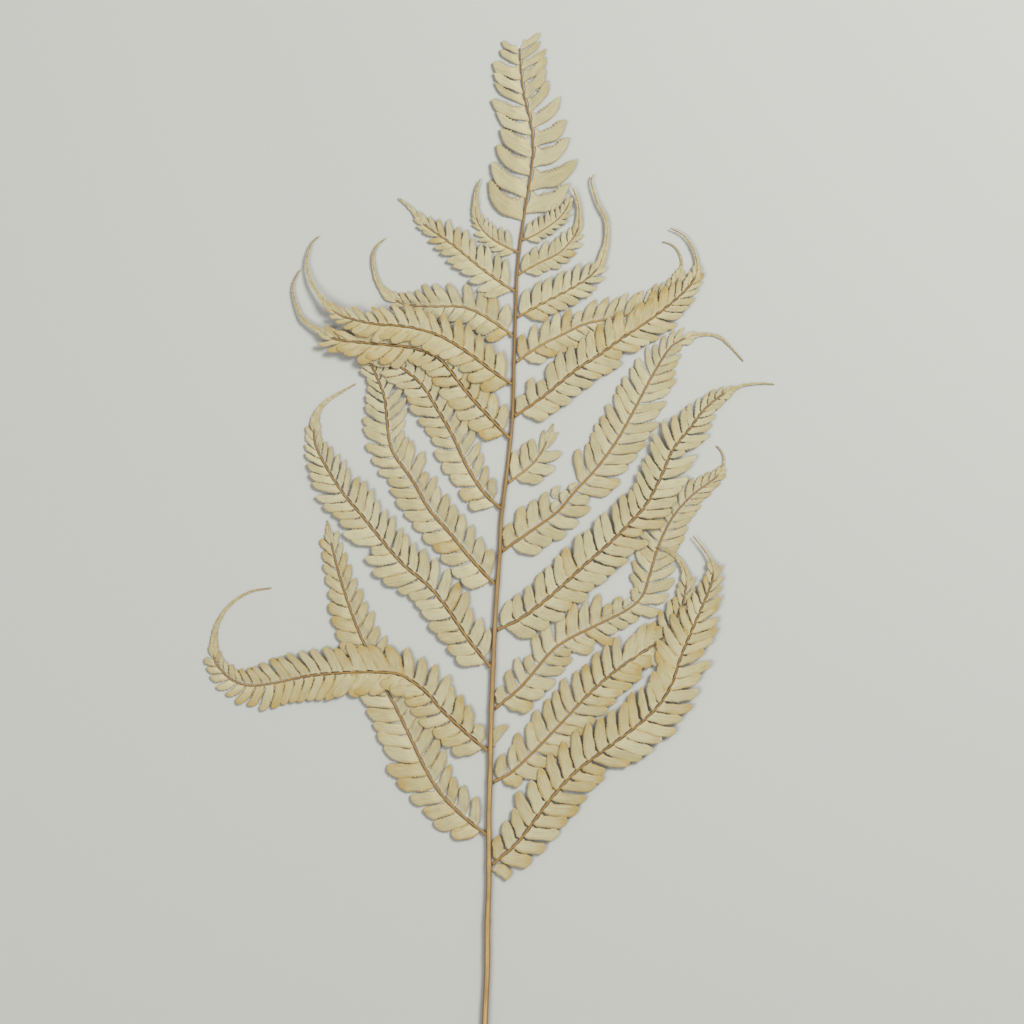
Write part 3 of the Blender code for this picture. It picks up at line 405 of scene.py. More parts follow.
LOW_LOBE = LeafShape(
    lower=(0.48, 0.48, 0.49, 0.5, 0.5, 0.52, 0.5, 0.44),
    upper=(0.5, 0.55, 0.42, 0.2, 0.17, 0.2, 0.24, 0.22),
    lower_tip=(0.5, 0.95), upper_tip=(0.7, 1.0), sweep=0.0, bow=0.13, joined=-0.35, ear_gap=1.0,
    teeth=(0.35, 1.0), tooth_pitch=2.4, rows=48, columns=FINE_COLUMNS,
)
TOP_LOBE = LOW_LOBE._replace(
    lower=(0.47, 0.48, 0.49, 0.5, 0.5, 0.5, 0.5, 0.46),
    upper=(0.48, 0.53, 0.42, 0.27, 0.23, 0.26, 0.34, 0.34),
    lower_tip=(0.7, 0.9), upper_tip=(0.75, 1.0), bow=0.06, ear_gap=0.5, teeth=(0.2, 1.0),
)
TAIL_LEAFLET = LeafShape(
    lower=(0.3, 0.33, 0.37, 0.4, 0.5, 0.5, 0.5, 0.4), upper=(0.3, 0.33, 0.37, 0.4, 0.5, 0.5, 0.5, 0.4),
    lower_tip=(0.35, 0.8), upper_tip=(0.35, 0.8), sweep=0.0, bow=0.0, joined=1.0, ear_gap=0.0,
    teeth=(0.0, 0.0), tooth_pitch=1.0, rows=8, columns=(-1.0, -0.4, 0.4, 1.0),
)


def blended(first, second, share):
    """A leaf shape between two that have as many rows and columns."""
    values = {
        name: np.array(getattr(first, name)) * (1 - share) + np.array(getattr(second, name)) * share
        for name in LeafShape._fields
        if name not in ("rows", "columns")
    }
    return first._replace(**values)


def between(keys, x):
    """Values at x of straight lines through (place, value) keys."""
    places, values = zip(*keys)
    return np.interp(x, places, values)


def even_keys(values):
    return tuple((i / (len(values) - 1), value) for i, value in enumerate(values))


def smooth(x):
    x = np.clip(x, 0.0, 1.0)
    return x * x * (3 - 2 * x)


def turned(vector, degrees):
    """A plan vector turned anticlockwise, seen from above."""
    angle = math.radians(degrees)
    cos, sin = math.cos(angle), math.sin(angle)
    return np.array((vector[0] * cos - vector[1] * sin, vector[0] * sin + vector[1] * cos))


class Route:
    """A smooth plan curve through points, read by the distance along it."""

    STEPS = 12

    def __init__(self, points):
        knots = np.array(points, float)
        ends = np.vstack([2 * knots[0] - knots[1], knots, 2 * knots[-1] - knots[-2]])
        t = np.arange(1, self.STEPS + 1)[:, None] / self.STEPS
        runs = [knots[:1]]
        for a, b, c, d in zip(ends, ends[1:], ends[2:], ends[3:]):
            squared = (2 * a - 5 * b + 4 * c - d) * t**2
            cubed = (3 * b - a - 3 * c + d) * t**3
            runs.append(0.5 * (2 * b + (c - a) * t + squared + cubed))
        self.points = np.vstack(runs)
        steps = np.linalg.norm(np.diff(self.points, axis=0), axis=1)
        self.lengths = np.concatenate([[0.0], np.cumsum(steps)])
        self.marks = self.lengths[:: self.STEPS]
        self.length = self.lengths[-1]

    def at(self, distance):
        x = np.interp(distance, self.lengths, self.points[:, 0])
        y = np.interp(distance, self.lengths, self.points[:, 1])
        return np.stack([x, y], axis=-1)

    def direction(self, distance, reach=2.0):
        way = self.at(distance + reach) - self.at(distance - reach)
        return way / np.linalg.norm(way)

    def bend(self, distance, reach):
        """How sharply the curve turns left there, in radians for each millimetre."""
        before = self.direction(distance - reach)
        after = self.direction(distance + reach)
        cross = before[0] * after[1] - before[1] * after[0]
        return math.atan2(cross, before @ after) / (2 * reach)

    def nearest(self, point):
        """Distance along the curve of the place nearest to a point, and how far off that is."""
        off = np.linalg.norm(self.points - point, axis=1)
        best = int(off.argmin())
        return self.lengths[best], off[best]


class Growth:
    """Closed solids gathered into one mesh, with two values at each point for its material.

    On a leaflet, the place is how far along and across it the point lies, in millimetres, and a tone of its
    own. The share is the same as a share of its length and half width, and how golden it is. On a tube, the
    place is the distance along it and the place in its section. The share is the side, the top and the share
    of its length.
    """

    def __init__(self):
        self.points = []
        self.faces = []
        self.places = []
        self.shares = []
        self.count = 0

    def add(self, points, faces, places, shares):
        self.points.append(points)
        self.faces.extend([[corner + self.count for corner in face] for face in faces])
        self.places.append(places)
        self.shares.append(shares)
        self.count += len(points)

    def add_leaf(self, middle, places, shares):
        """Adds a thin leaf round a grid of points. Its two faces meet along its margin."""
        rows, columns = middle.shape[:2]
        half = np.zeros_like(middle)
        half[1:-1, 1:-1, 2] = LAMINA / 2
        top = np.arange(rows * columns).reshape(rows, columns)
        under = top.copy()
        inner = (rows - 2) * (columns - 2)
        under[1:-1, 1:-1] = rows * columns + np.arange(inner).reshape(rows - 2, columns - 2)
        along, across = middle[1, 0] - middle[0, 0], middle[0, 1] - middle[0, 0]
        lefthanded = along[0] * across[1] - along[1] * across[0] < 0
        quads = []
        for grid, facing_up in ((top, True), (under, False)):
            corners = [grid[:-1, :-1], grid[1:, :-1], grid[1:, 1:], grid[:-1, 1:]]
            if facing_up == lefthanded:
                corners.reverse()
            quads.append(np.stack(corners, axis=-1).reshape(-1, 4))
        points = np.vstack([(middle + half).reshape(-1, 3), (middle - half)[1:-1, 1:-1].reshape(-1, 3)])
        inner_rows = [values[1:-1, 1:-1].reshape(-1, 3) for values in (places, shares)]
        self.add(
            points, np.vstack(quads).tolist(), np.vstack([places.reshape(-1, 3), inner_rows[0]]),
            np.vstack([shares.reshape(-1, 3), inner_rows[1]]),
        )

    def piece(self, name, material):
        """Makes the mesh object, in metres and about the shared origin."""
        points = np.vstack(self.points) - np.array((*MIDDLE, 0.0))
        mesh = bpy.data.meshes.new(name)
        mesh.from_pydata((points * MM).tolist(), [], self.faces)
        for title, values in (("place", self.places), ("share", self.shares)):
            attribute = mesh.attributes.new(title, "FLOAT_VECTOR", "POINT")
            attribute.data.foreach_set("vector", np.vstack(values).astype(np.float32).ravel())
        mesh.shade_smooth()
        mesh.set_sharp_from_angle(angle=math.radians(75))
        mesh.materials.append(material)
        made = bpy.data.objects.new(name, mesh)
        bpy.context.scene.collection.objects.link(made)
        return made


class Leaf(NamedTuple):
    """Where one leaflet grows, in plan."""

    start: np.ndarray  # middle of its base
    along: np.ndarray  # unit vectors along it and across it, towards the pinna's tip
    across: np.ndarray
    length: float
    width: float
    slant: float  # how much further along the leaflet the midrib lies for each millimetre across
    back: float  # how far behind its start its base is sunk into the midrib
    low: float  # height at the lower and the upper edge of its base
    high: float
    lift: float
    torn: bool
    gold: float


def grow_leaflet(growth, leaf, shape, draw):
    """Adds one leaflet: an eared base, toothed margins, a shallow groove down its middle and dried curls."""
    # The rows stand closest at the eared base and the rounded tip. A tail leaflet has too few for that.
    base_rows = 2 + shape.rows // 4
    s = np.concatenate([
        np.linspace(0.0, 0.2, base_rows, endpoint=False),
        np.linspace(0.2, 0.9, shape.rows - base_rows - 3),
        (0.95, 0.98, 0.996),
    ])
    if shape.rows < 10:
        s = np.linspace(0.0, 0.98, shape.rows)
    t = np.array(shape.columns)
    lower, upper = (
        np.interp(s, STATIONS, widths) * narrowing(s, varied(tip, draw), leaf.torn) * wavy(s, draw)
        for widths, tip in ((shape.lower, shape.lower_tip), (shape.upper, shape.upper_tip))
    )
    sway = draw.uniform(-0.025, 0.025) * leaf.length
    swing = (shape.sweep * leaf.width + sway) * s**2 - shape.bow * leaf.length * np.sin(math.pi * s**1.2)
    half_lower = (lower * leaf.width)[:, None] * np.minimum(t, 0.0)
    half_upper = (upper * leaf.width)[:, None] * np.maximum(t, 0.0)
    v = half_lower + half_upper + swing[:, None]
    lower_teeth, upper_teeth = (serrated(s * leaf.length, shape.tooth_pitch, draw) for _ in range(2))
    closing = smooth((1 - s) * 10)
    v[:, 0] -= shape.teeth[0] * lower_teeth * smooth(s * 6) * closing
    v[:, -1] += shape.teeth[1] * upper_teeth * smooth((s - 0.1) * 12) * (1.15 - 0.8 * s) * closing
    base = leaf.slant * v[0] - leaf.back + (shape.ear_gap + leaf.back) * smooth((t - shape.joined) / 0.5)
    u = leaf.length * s[:, None] + base[None, :] * ((1 - s) ** 1.5)[:, None]
    if leaf.torn:
        u[-1] -= np.array([draw.uniform(0.0, 1.2) for _ in t])
    z = relief(s, t, leaf, draw)
    z += leaf.low + (leaf.high - leaf.low) * (v / leaf.width + 0.5)
    plan = leaf.start + u[..., None] * leaf.along + v[..., None] * leaf.across
    middle = np.concatenate([plan, np.maximum(z, FLOOR_GAP + LAMINA / 2)[..., None]], axis=-1)
    tone = draw.random()
    places = np.stack([u, v, np.full_like(u, tone)], axis=-1)
    share_s = np.repeat(s[:, None], len(t), axis=1)
    share_t = np.repeat(t[None, :], len(s), axis=0)
    gold = min(1.0, max(0.0, leaf.gold + draw.uniform(-0.25, 0.25)))
    growth.add_leaf(middle, places, np.stack([share_s, share_t, np.full_like(u, gold)], axis=-1))


def varied(tip, draw):
    """A tip that begins and narrows a little differently on every leaflet."""
    return tip[0] + draw.uniform(-0.08, 0.06), tip[1] * draw.uniform(0.6, 1.25)


def wavy(s, draw):
    """Factor of a half width that swells and shrinks gently along the leaflet."""
    return 1 + MARGIN_WAVE * np.sin(math.tau * (draw.uniform(0.8, 2.4) * s + draw.random()))


def serrated(u, pitch, draw):
    """Height of a saw-toothed margin from 0 to 1, with its teeth pointing to the leaflet's tip."""
    place = u / pitch + draw.random()
    phase = place % 1
    sizes = np.array([draw.uniform(0.3, 1.2) for _ in range(64)])
    return sizes[place.astype(int) % 64] * np.where(phase < 0.65, phase / 0.65, (1 - phase) / 0.35)


def narrowing(s, tip, torn):
    """How a leaflet closes to its tip: round at a power of 0.5 and pointed at 1. A torn one stays wide."""
    if torn:
        return 1.0 - 0.25 * smooth((s - 0.8) * 5)
    begin, power = tip
    x = np.clip((s - begin) / (1 - begin), 0.0, 1.0)
    return (1 - x**2) ** power


def relief(s, t, leaf, draw):
    """Height of a leaflet above its place, at shares s of its length and t of its half width."""
    size = min(1.0, leaf.width / FULL_WIDTH)
    near_floor = float(smooth(1.5 - leaf.low))
    rise = (RISE[0] + (RISE[1] - RISE[0]) * near_floor) * size * smooth(s * 2.5)[:, None]
    arch = ARCH * size * (1 - t**2)[None, :] * smooth(s * 5)[:, None]
    groove = -GROOVE * size * (t == 0.0)[None, :] * smooth(s * 8)[:, None] * smooth((1 - s) * 3)[:, None]
    tilt = draw.uniform(*TILT) * size * t[None, :] * smooth(s * 3)[:, None]
    curl = leaf.lift * (s**2)[:, None]
    phase = draw.uniform(0, math.tau)
    wave = WAVE[0] * size * np.sin(math.tau * WAVE[1] * s + phase)[:, None] * t[None, :]
    near_margin = (np.abs(t) > 0.6)[None, :]
    ripple = RIPPLE[0] * size * np.sin(math.tau * RIPPLE[1] * s + 2 * phase)[:, None] * near_margin
    return rise + arch + groove + tilt + curl + wave + ripple - GROOVE * size


def tube(growth, route, stops, radius, height, sides, shape, pith=0.0):
    """Adds a closed tube along a route, hollowed at its start as deep as pith says. shape gives the radius's
    factor at each angle from the underside."""
    angles = math.tau * (np.arange(sides) + 0.5) / sides
    rings = []
    places = []
    shares = []
    ends = ((stops[0] + pith, TUBE_END), (stops[-1], TUBE_END))
    for stop, size in (ends[0], *((stop, 1.0) for stop in stops), ends[1]):
        middle = route.at(stop)
        side = turned(route.direction(stop), -90)
        r = radius(stop) * shape(angles, stop) * size
        plan = middle + side * (r * np.sin(angles))[:, None]
        z = np.maximum(height(stop) - r * np.cos(angles), 0.01)
        rings.append(np.column_stack([plan, z]))
        places.append(np.column_stack([np.full(sides, stop), r * np.sin(angles), r * np.cos(angles)]))
        shares.append(np.column_stack([np.sin(angles), -np.cos(angles), np.full(sides, stop / route.length)]))
    for values in (rings, places, shares):
        values.extend([values[0].mean(axis=0, keepdims=True), values[-1].mean(axis=0, keepdims=True)])
    count = len(stops) + 2
    grid = np.arange(count * sides).reshape(count, sides)
    turn = np.roll(grid, -1, axis=1)
    quads = np.stack([grid[:-1], turn[:-1], turn[1:], grid[1:]], axis=-1).reshape(-1, 4)
    first_end = np.column_stack([turn[0], grid[0], np.full(sides, count * sides)])
    last_end = np.column_stack([grid[-1], turn[-1], np.full(sides, count * sides + 1)])
    faces = quads.tolist() + first_end.tolist() + last_end.tolist()
    growth.add(np.vstack(rings), faces, np.vstack(places), np.vstack(shares))


def stem_radius(y):
    return float(between(STEM_RADII, y))


def stem_height(y):
    return stem_radius(y) * math.cos(math.pi / STEM_SIDES)


def root_of(route, stem):
    """Distance along a midrib where it comes out of the stem."""
    distance = 0.0
    while stem.nearest(route.at(distance))[1] < ROOT_DEPTH * stem_radius(route.at(distance)[1]):
        distance += WALK
    return distance


def solid_start(route, stem):
    """Distance along a midrib where the solid's midrib starts, clear of the stem."""
    distance = 0.0
    while True:
        point = route.at(distance)
        near, off = stem.nearest(point)
        slant = abs(route.direction(distance) @ stem.direction(near))
        if off - SOLID_RIB * slant >= stem_radius(point[1]) + SOLID_CLEAR:
            return distance
        distance += WALK


def leaflet_cuts(pinna, start, tail_start):
    """Distances of the cuts between the leaflets of the leafy stretch."""
    cuts = [start + BARE_ROOT]
    while cuts[-1] < tail_start - pinna.pitch[1] / 2:
        share = (cuts[-1] - start) / (tail_start - start)
        cuts.append(cuts[-1] + pinna.pitch[0] + (pinna.pitch[1] - pinna.pitch[0]) * share)
    return cuts


def clear_of_stem(stem, start, along, across, length, width):
    """A leaflet's length, made shorter until its outline is clear of the stem."""
    for _ in range(8):
        rim = [start + along * length * u + across * width * v for u, v in ((0.6, -0.5), (1, 0), (0.6, 0.5))]
        if all(stem.nearest(p)[1] > stem_radius(p[1]) + STEM_CLEAR for p in rim):
            break
        length *= 0.9
    return length


class Midrib:
    """The middle line of one pinna, and what changes along it."""

    def __init__(self, pinna, stem):
        self.pinna = pinna
        self.route = Route(pinna.route + pinna.tail)
        self.length = self.route.length
        self.tail_start = self.route.marks[len(pinna.route) - 1]
        self.root = root_of(self.route, stem)
        self.cuts = leaflet_cuts(pinna, solid_start(self.route, stem), self.tail_start)

    def height(self, distance):
        """Height of the blade's middle, where the thin leaf lies lower than the solid's thicker blade."""
        height = float(between(self.pinna.heights, distance / self.length))
        return height if height < SETTLE_FROM else SETTLE_FROM + (height - SETTLE_FROM) * SETTLE

    def tapered(self, ends, distance):
        """A value that goes from one at the root to another where the tail begins."""
        return ends[0] + (ends[1] - ends[0]) * min(1.0, distance / self.tail_start)

    def side_gap(self, distance):
        return self.tapered(MIDRIB_SIDE, distance) * (1 - SMALL_GAP * self.pinna.small)

    def beside(self, distance, side, offset):
        return self.route.at(distance) + turned(self.route.direction(distance), 90 * side) * offset

    def radius(self, distance):
        thinner = 1 - SMALL_RIB * self.pinna.small
        if distance < self.tail_start:
            swell = ROOT_SWELL[0] * math.exp(-(((distance - self.root) / ROOT_SWELL[1]) ** 2))
            return (self.tapered(MIDRIB_RADIUS, distance) + swell) * thinner
        share = (distance - self.tail_start) / (self.length - self.tail_start)
        thick = MIDRIB_RADIUS[1] * thinner
        return thick + (TAIL_RADIUS - thick) * share**TAIL_TAPER


def grow_pinna(pinna, stem, materials):
    """One pinna: its leaflets, the folded ones on its tail, those that stand apart, and its midrib."""
    solid = f"pinna_{pinna.name}"
    midrib = Midrib(pinna, stem)
    leaves = Growth()
    fine = random.Random(f"{SEED} fine {solid}")
    grow_rows(leaves, midrib, stem, random.Random(f"{SEED} {solid}"), fine)
    grow_tail(leaves, midrib, fine)
    for name, base, tip, width, z, torn in STRAYS:
        if name == pinna.name:
            grow_stray(leaves, np.array(base), np.array(tip), width, z, torn, fine)

    rib = Growth()
    stops = np.linspace(midrib.root, midrib.length, int((midrib.length - midrib.root) / RIB_STEP))
    tube(
        rib, midrib.route, stops, midrib.radius, lambda d: midrib.height(d) + RIB_LIFT, RIB_SIDES,
        grooved_rib,
    )
    rib_material = "young_midrib" if pinna.small > YOUNG else "midrib"
    for growth, name, material in ((leaves, "leaflets", "lamina"), (rib, "midrib", rib_material)):
        piece = growth.piece(f"{name}_{pinna.name}", materials[material])
        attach(piece, "root")
        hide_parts(solid)


def grow_rows(leaves, midrib, stem, draw, fine):
    """The two rows of leaflets. draw gives what they share with the solid's, and fine what they add."""
    pinna, route, cuts = midrib.pinna, midrib.route, midrib.cuts
    under_side = RIGHT if pinna.name.startswith("right") else LEFT
    side_lean = {LEFT: UPPER_LEAN, RIGHT: UNDER_LEAN} if under_side == RIGHT else {LEFT: 0.0, RIGHT: 0.0}
    rooms = [b - a for a, b in zip(cuts, cuts[1:])]
    for side in (LEFT, RIGHT):
        stagger = 0.0 if side == LEFT else STAGGER
        large = UNDER_LEAFLET if side == under_side else UPPER_LEAFLET
        shape = blended(large, SMALL_LEAFLET, pinna.small)
        places = [cut + stagger * room for cut, room in zip(cuts, [*rooms, rooms[-1]])]
        for i, (low_at, high_at) in enumerate(zip(places, places[1:])):
            middle_at = (low_at + high_at) / 2
            low, high = (midrib.beside(at, side, midrib.side_gap(at)) for at in (low_at, high_at))
            begin = (low + high) / 2
            share = i / max(1, len(rooms) - 1)
            reach = float(between(even_keys(pinna.reach), share)) * draw.uniform(*LENGTHS)
            torn = draw.random() < BROKEN_SHARE
            if torn:
                reach *= BROKEN_LEFT
            for broken_side, first, last, left in pinna.short:
                if side == broken_side and first <= i <= last:
                    reach *= left
                    torn = torn or fine.random() < SHORT_TORN
            lean = pinna.lean[0] + (pinna.lean[1] - pinna.lean[0]) * share + draw.uniform(*LEANS)
            lean += side_lean[side] + fine.uniform(*FINE_LEANS)
            lean -= FOLD_LEAN * float(smooth((share - FOLD_FROM) / (1 - FOLD_FROM)))
            along = turned(route.direction(middle_at, LEAN_REACH), side * lean)
            across = turned(along, -90 * side)
            room = (high - low) @ across
            inside = max(0.0, side * route.bend(middle_at, LEAN_REACH)) * reach
            reach *= 1 - INNER_SHORTEN * min(inside, INSIDE_MOST)
            lift = draw.uniform(0.0, TIP_LIFT)
            reach *= fine.uniform(*FINE_LENGTHS) * (1 + pinna.small * SMALL_REACH[side == under_side])
            width = max(room * LEAF_FILL * (1 - inside), LEAST_FILL * room, LEAST_WIDTH)
            width *= fine.uniform(*FINE_WIDTHS)
            width *= 1 + SMALL_WIDER * pinna.small
            reach = clear_of_stem(stem, begin, along, across, reach, width)
            slant = (high - low) @ along / room
            back = midrib.side_gap(middle_at) - SUNK * midrib.tapered(MIDRIB_RADIUS, middle_at)
            gold = 1.0 if fine.random() < ALL_GOLD else pinna.gold
            if any(side == run_side and first <= i <= last for run_side, first, last in pinna.crushed):
                gold = fine.uniform(*CRUSHED_GOLD)
                lift += fine.uniform(0.0, CRUSHED_LIFT)
                width *= CRUSHED_WIDER
                along = turned(along, -side * fine.uniform(*CRUSHED_TURN))
                across = turned(along, -90 * side)
            leaf = Leaf(
                begin, along, across, reach, width, slant, back,
                midrib.height(low_at), midrib.height(high_at), lift, torn, gold,
            )
            grow_leaflet(leaves, leaf, shape, fine)


def grow_stray(leaves, base, tip, width, z, torn, draw):
    """A leaflet that stands apart from its row."""
    length = float(np.linalg.norm(tip - base))
    along = (tip - base) / length
    across = turned(along, -90)
    leaf = Leaf(base, along, across, length, width, 0.0, 0.0, z, z, STRAY_CURL, torn, STRAY_GOLD[torn])
    grow_leaflet(leaves, leaf, UNDER_LEAFLET, draw)


def grow_tail(leaves, midrib, draw):
    """The leaflets that lie folded forward along the tail, so that they look like one feathery band."""
    pinna, route = midrib.pinna, midrib.route
    begin = midrib.cuts[-1]
    count = int((midrib.length - begin) / TAIL_PITCH)
    for i in range(count):
        share = i / max(1, count - 1)
        fill = 1.0 + (pinna.tail_fill - 1.0) * float(smooth(share * 6 + 0.2))
        kept = [least + (1 - least) * fill for least in TAIL_LEAST]
        place = begin + (midrib.length - begin) * (i + 0.3) / count
        for side in (LEFT, RIGHT):
            reach = float(between(even_keys(TAIL_REACH), share)) * draw.uniform(*TAIL_LENGTHS)
            reach = min(reach, TAIL_MOST * pinna.reach[-1], midrib.length - place + TAIL_PAST) * kept[0]
            lean = float(between(even_keys(TAIL_LEAN), share)) + draw.uniform(*TAIL_LEANS)
            lean *= kept[1]
            along = turned(route.direction(place + 0.4 * reach), side * lean)
            across = turned(along, -90 * side)
            start = midrib.beside(place, side, TAIL_SIDE)
            z = midrib.height(place) + draw.uniform(*TAIL_HEIGHTS)
            width = float(between(even_keys(TAIL_WIDTH), share)) * kept[2]
            leaf = Leaf(start, along, across, reach, width, 0.0, 0.0, z, z, TAIL_CURL, False, pinna.gold)
            grow_leaflet(leaves, leaf, TAIL_LEAFLET, draw)


def grooved_rib(angles, stop):
    """A midrib's section: a little flat below, with one groove along the top."""
    top = np.cos(angles - math.pi)
    return 0.94 - 0.16 * smooth((top - 0.8) / 0.2) + 0.03 * math.sin(stop * 0.9)


def grow_stalk(stem, roots, materials):
    """The stalk: swollen where a pinna joins it, grooved on top, with a hollowed pith at its cut end."""

    def radius(distance):
        y = float(stem.at(distance)[1])
        thicker, reach = STALK_SWELL
        swell = sum(thicker * math.exp(-(((distance - root) / reach) ** 2)) for root in roots)
        thicker, reach = STALK_RING
        ring = sum(thicker * math.exp(-(((y - place) / reach) ** 2)) for place in STALK_JOINTS)
        return stem_radius(y) * STALK_SHARE * (1 + swell + ring)

    def section(angles, stop):
        top = np.cos(angles - math.pi)
        twist = 0.35 * math.sin(stop / 90)
        depth, half_angle = STALK_GROOVE
        groove = depth * np.exp(-(((angles - math.pi - twist) / half_angle) ** 2))
        ribs = 0.02 * np.cos(7 * angles + stop / 60)
        rough = [noise.noise(Vector((math.cos(a) * 1.2, math.sin(a) * 1.2, stop * 0.25))) for a in angles]
        return 1.0 - groove * (top > 0) + ribs + 0.05 * np.array(rough)

    def height(distance):
        return stem_height(float(stem.at(distance)[1]))

    stalk = Growth()
    stops = np.linspace(0.0, stem.length - STALK_SHORT, int(stem.length / STALK_STEP))
    tube(stalk, stem, stops, radius, height, STALK_SIDES, section, pith=PITH)
    piece = stalk.piece("stalk", materials["stalk"])
    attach(piece, "root")
    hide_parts("stem")


def grow_apex(stem, materials):
    """The lobes that the top of the stem carries on both sides, each with its own toothed margin."""
    leaves = Growth()
    draw = random.Random(f"{SEED} apex")
    for side, lobes, top in ((LEFT, APEX_LEFT, APEX_TOPS[0]), (RIGHT, APEX_RIGHT, APEX_TOPS[1])):
        cuts = [stem.nearest(np.array(base))[0] for base, _ in lobes]
        corners = [stem.at(cut) + turned(stem.direction(cut, 1.0), 90 * side) * APEX_SIDE for cut in cuts]
        corners.append(np.array(top))
        for i, (low, high, (_, tip)) in enumerate(zip(corners, corners[1:], lobes)):
            share = i / (len(lobes) - 1)
            begin = (low + high) / 2
            length = float(np.linalg.norm(tip - begin))
            along = (tip - begin) / length
            across = turned(along, -90 * side)
            room = (high - low) @ across
            slant = (high - low) @ along / max(room, 0.5)
            shape = blended(LOW_LOBE, TOP_LOBE, min(1.0, 1.4 * share))
            shape = shape._replace(teeth=(shape.teeth[0], float(between(even_keys(APEX_TEETH), share))))
            z = stem_height(begin[1])
            leaf = Leaf(
                begin, along, across, length, room * APEX_FILL, min(slant, APEX_SLANT), APEX_SUNK, z, z,
                draw.uniform(*APEX_CURL), False, APEX_GOLD,
            )
            grow_leaflet(leaves, leaf, shape, draw)
    piece = leaves.piece("apex_lobes", materials["lamina"])
    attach(piece, "root")
    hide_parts("stem")


# Materials
def linear(hex_colour):
    """An sRGB hex colour as the linear values that a shader takes."""
    values = [int(hex_colour[i : i + 2], 16) / 255 for i in (0, 2, 4)]
    return (*(v / 12.92 if v <= 0.04045 else ((v + 0.055) / 1.055) ** 2.4 for v in values), 1.0)


def put(tree, kind, inputs, **settings):
    """Adds a node. inputs gives its sockets a value or the output that feeds them."""
    made = tree.nodes.new(f"ShaderNode{kind}")
    for name, value in settings.items():
        setattr(made, name, value)
    for socket, value in inputs.items():
        if isinstance(value, bpy.types.NodeSocket):
            tree.links.new(value, made.inputs[socket])
        else:
            made.inputs[socket].default_value = value
    return made.outputs


def new_material(name):
    material = bpy.data.materials.new(name)
    material.use_nodes = True
    return material, material.node_tree, material.node_tree.nodes["Principled BSDF"]


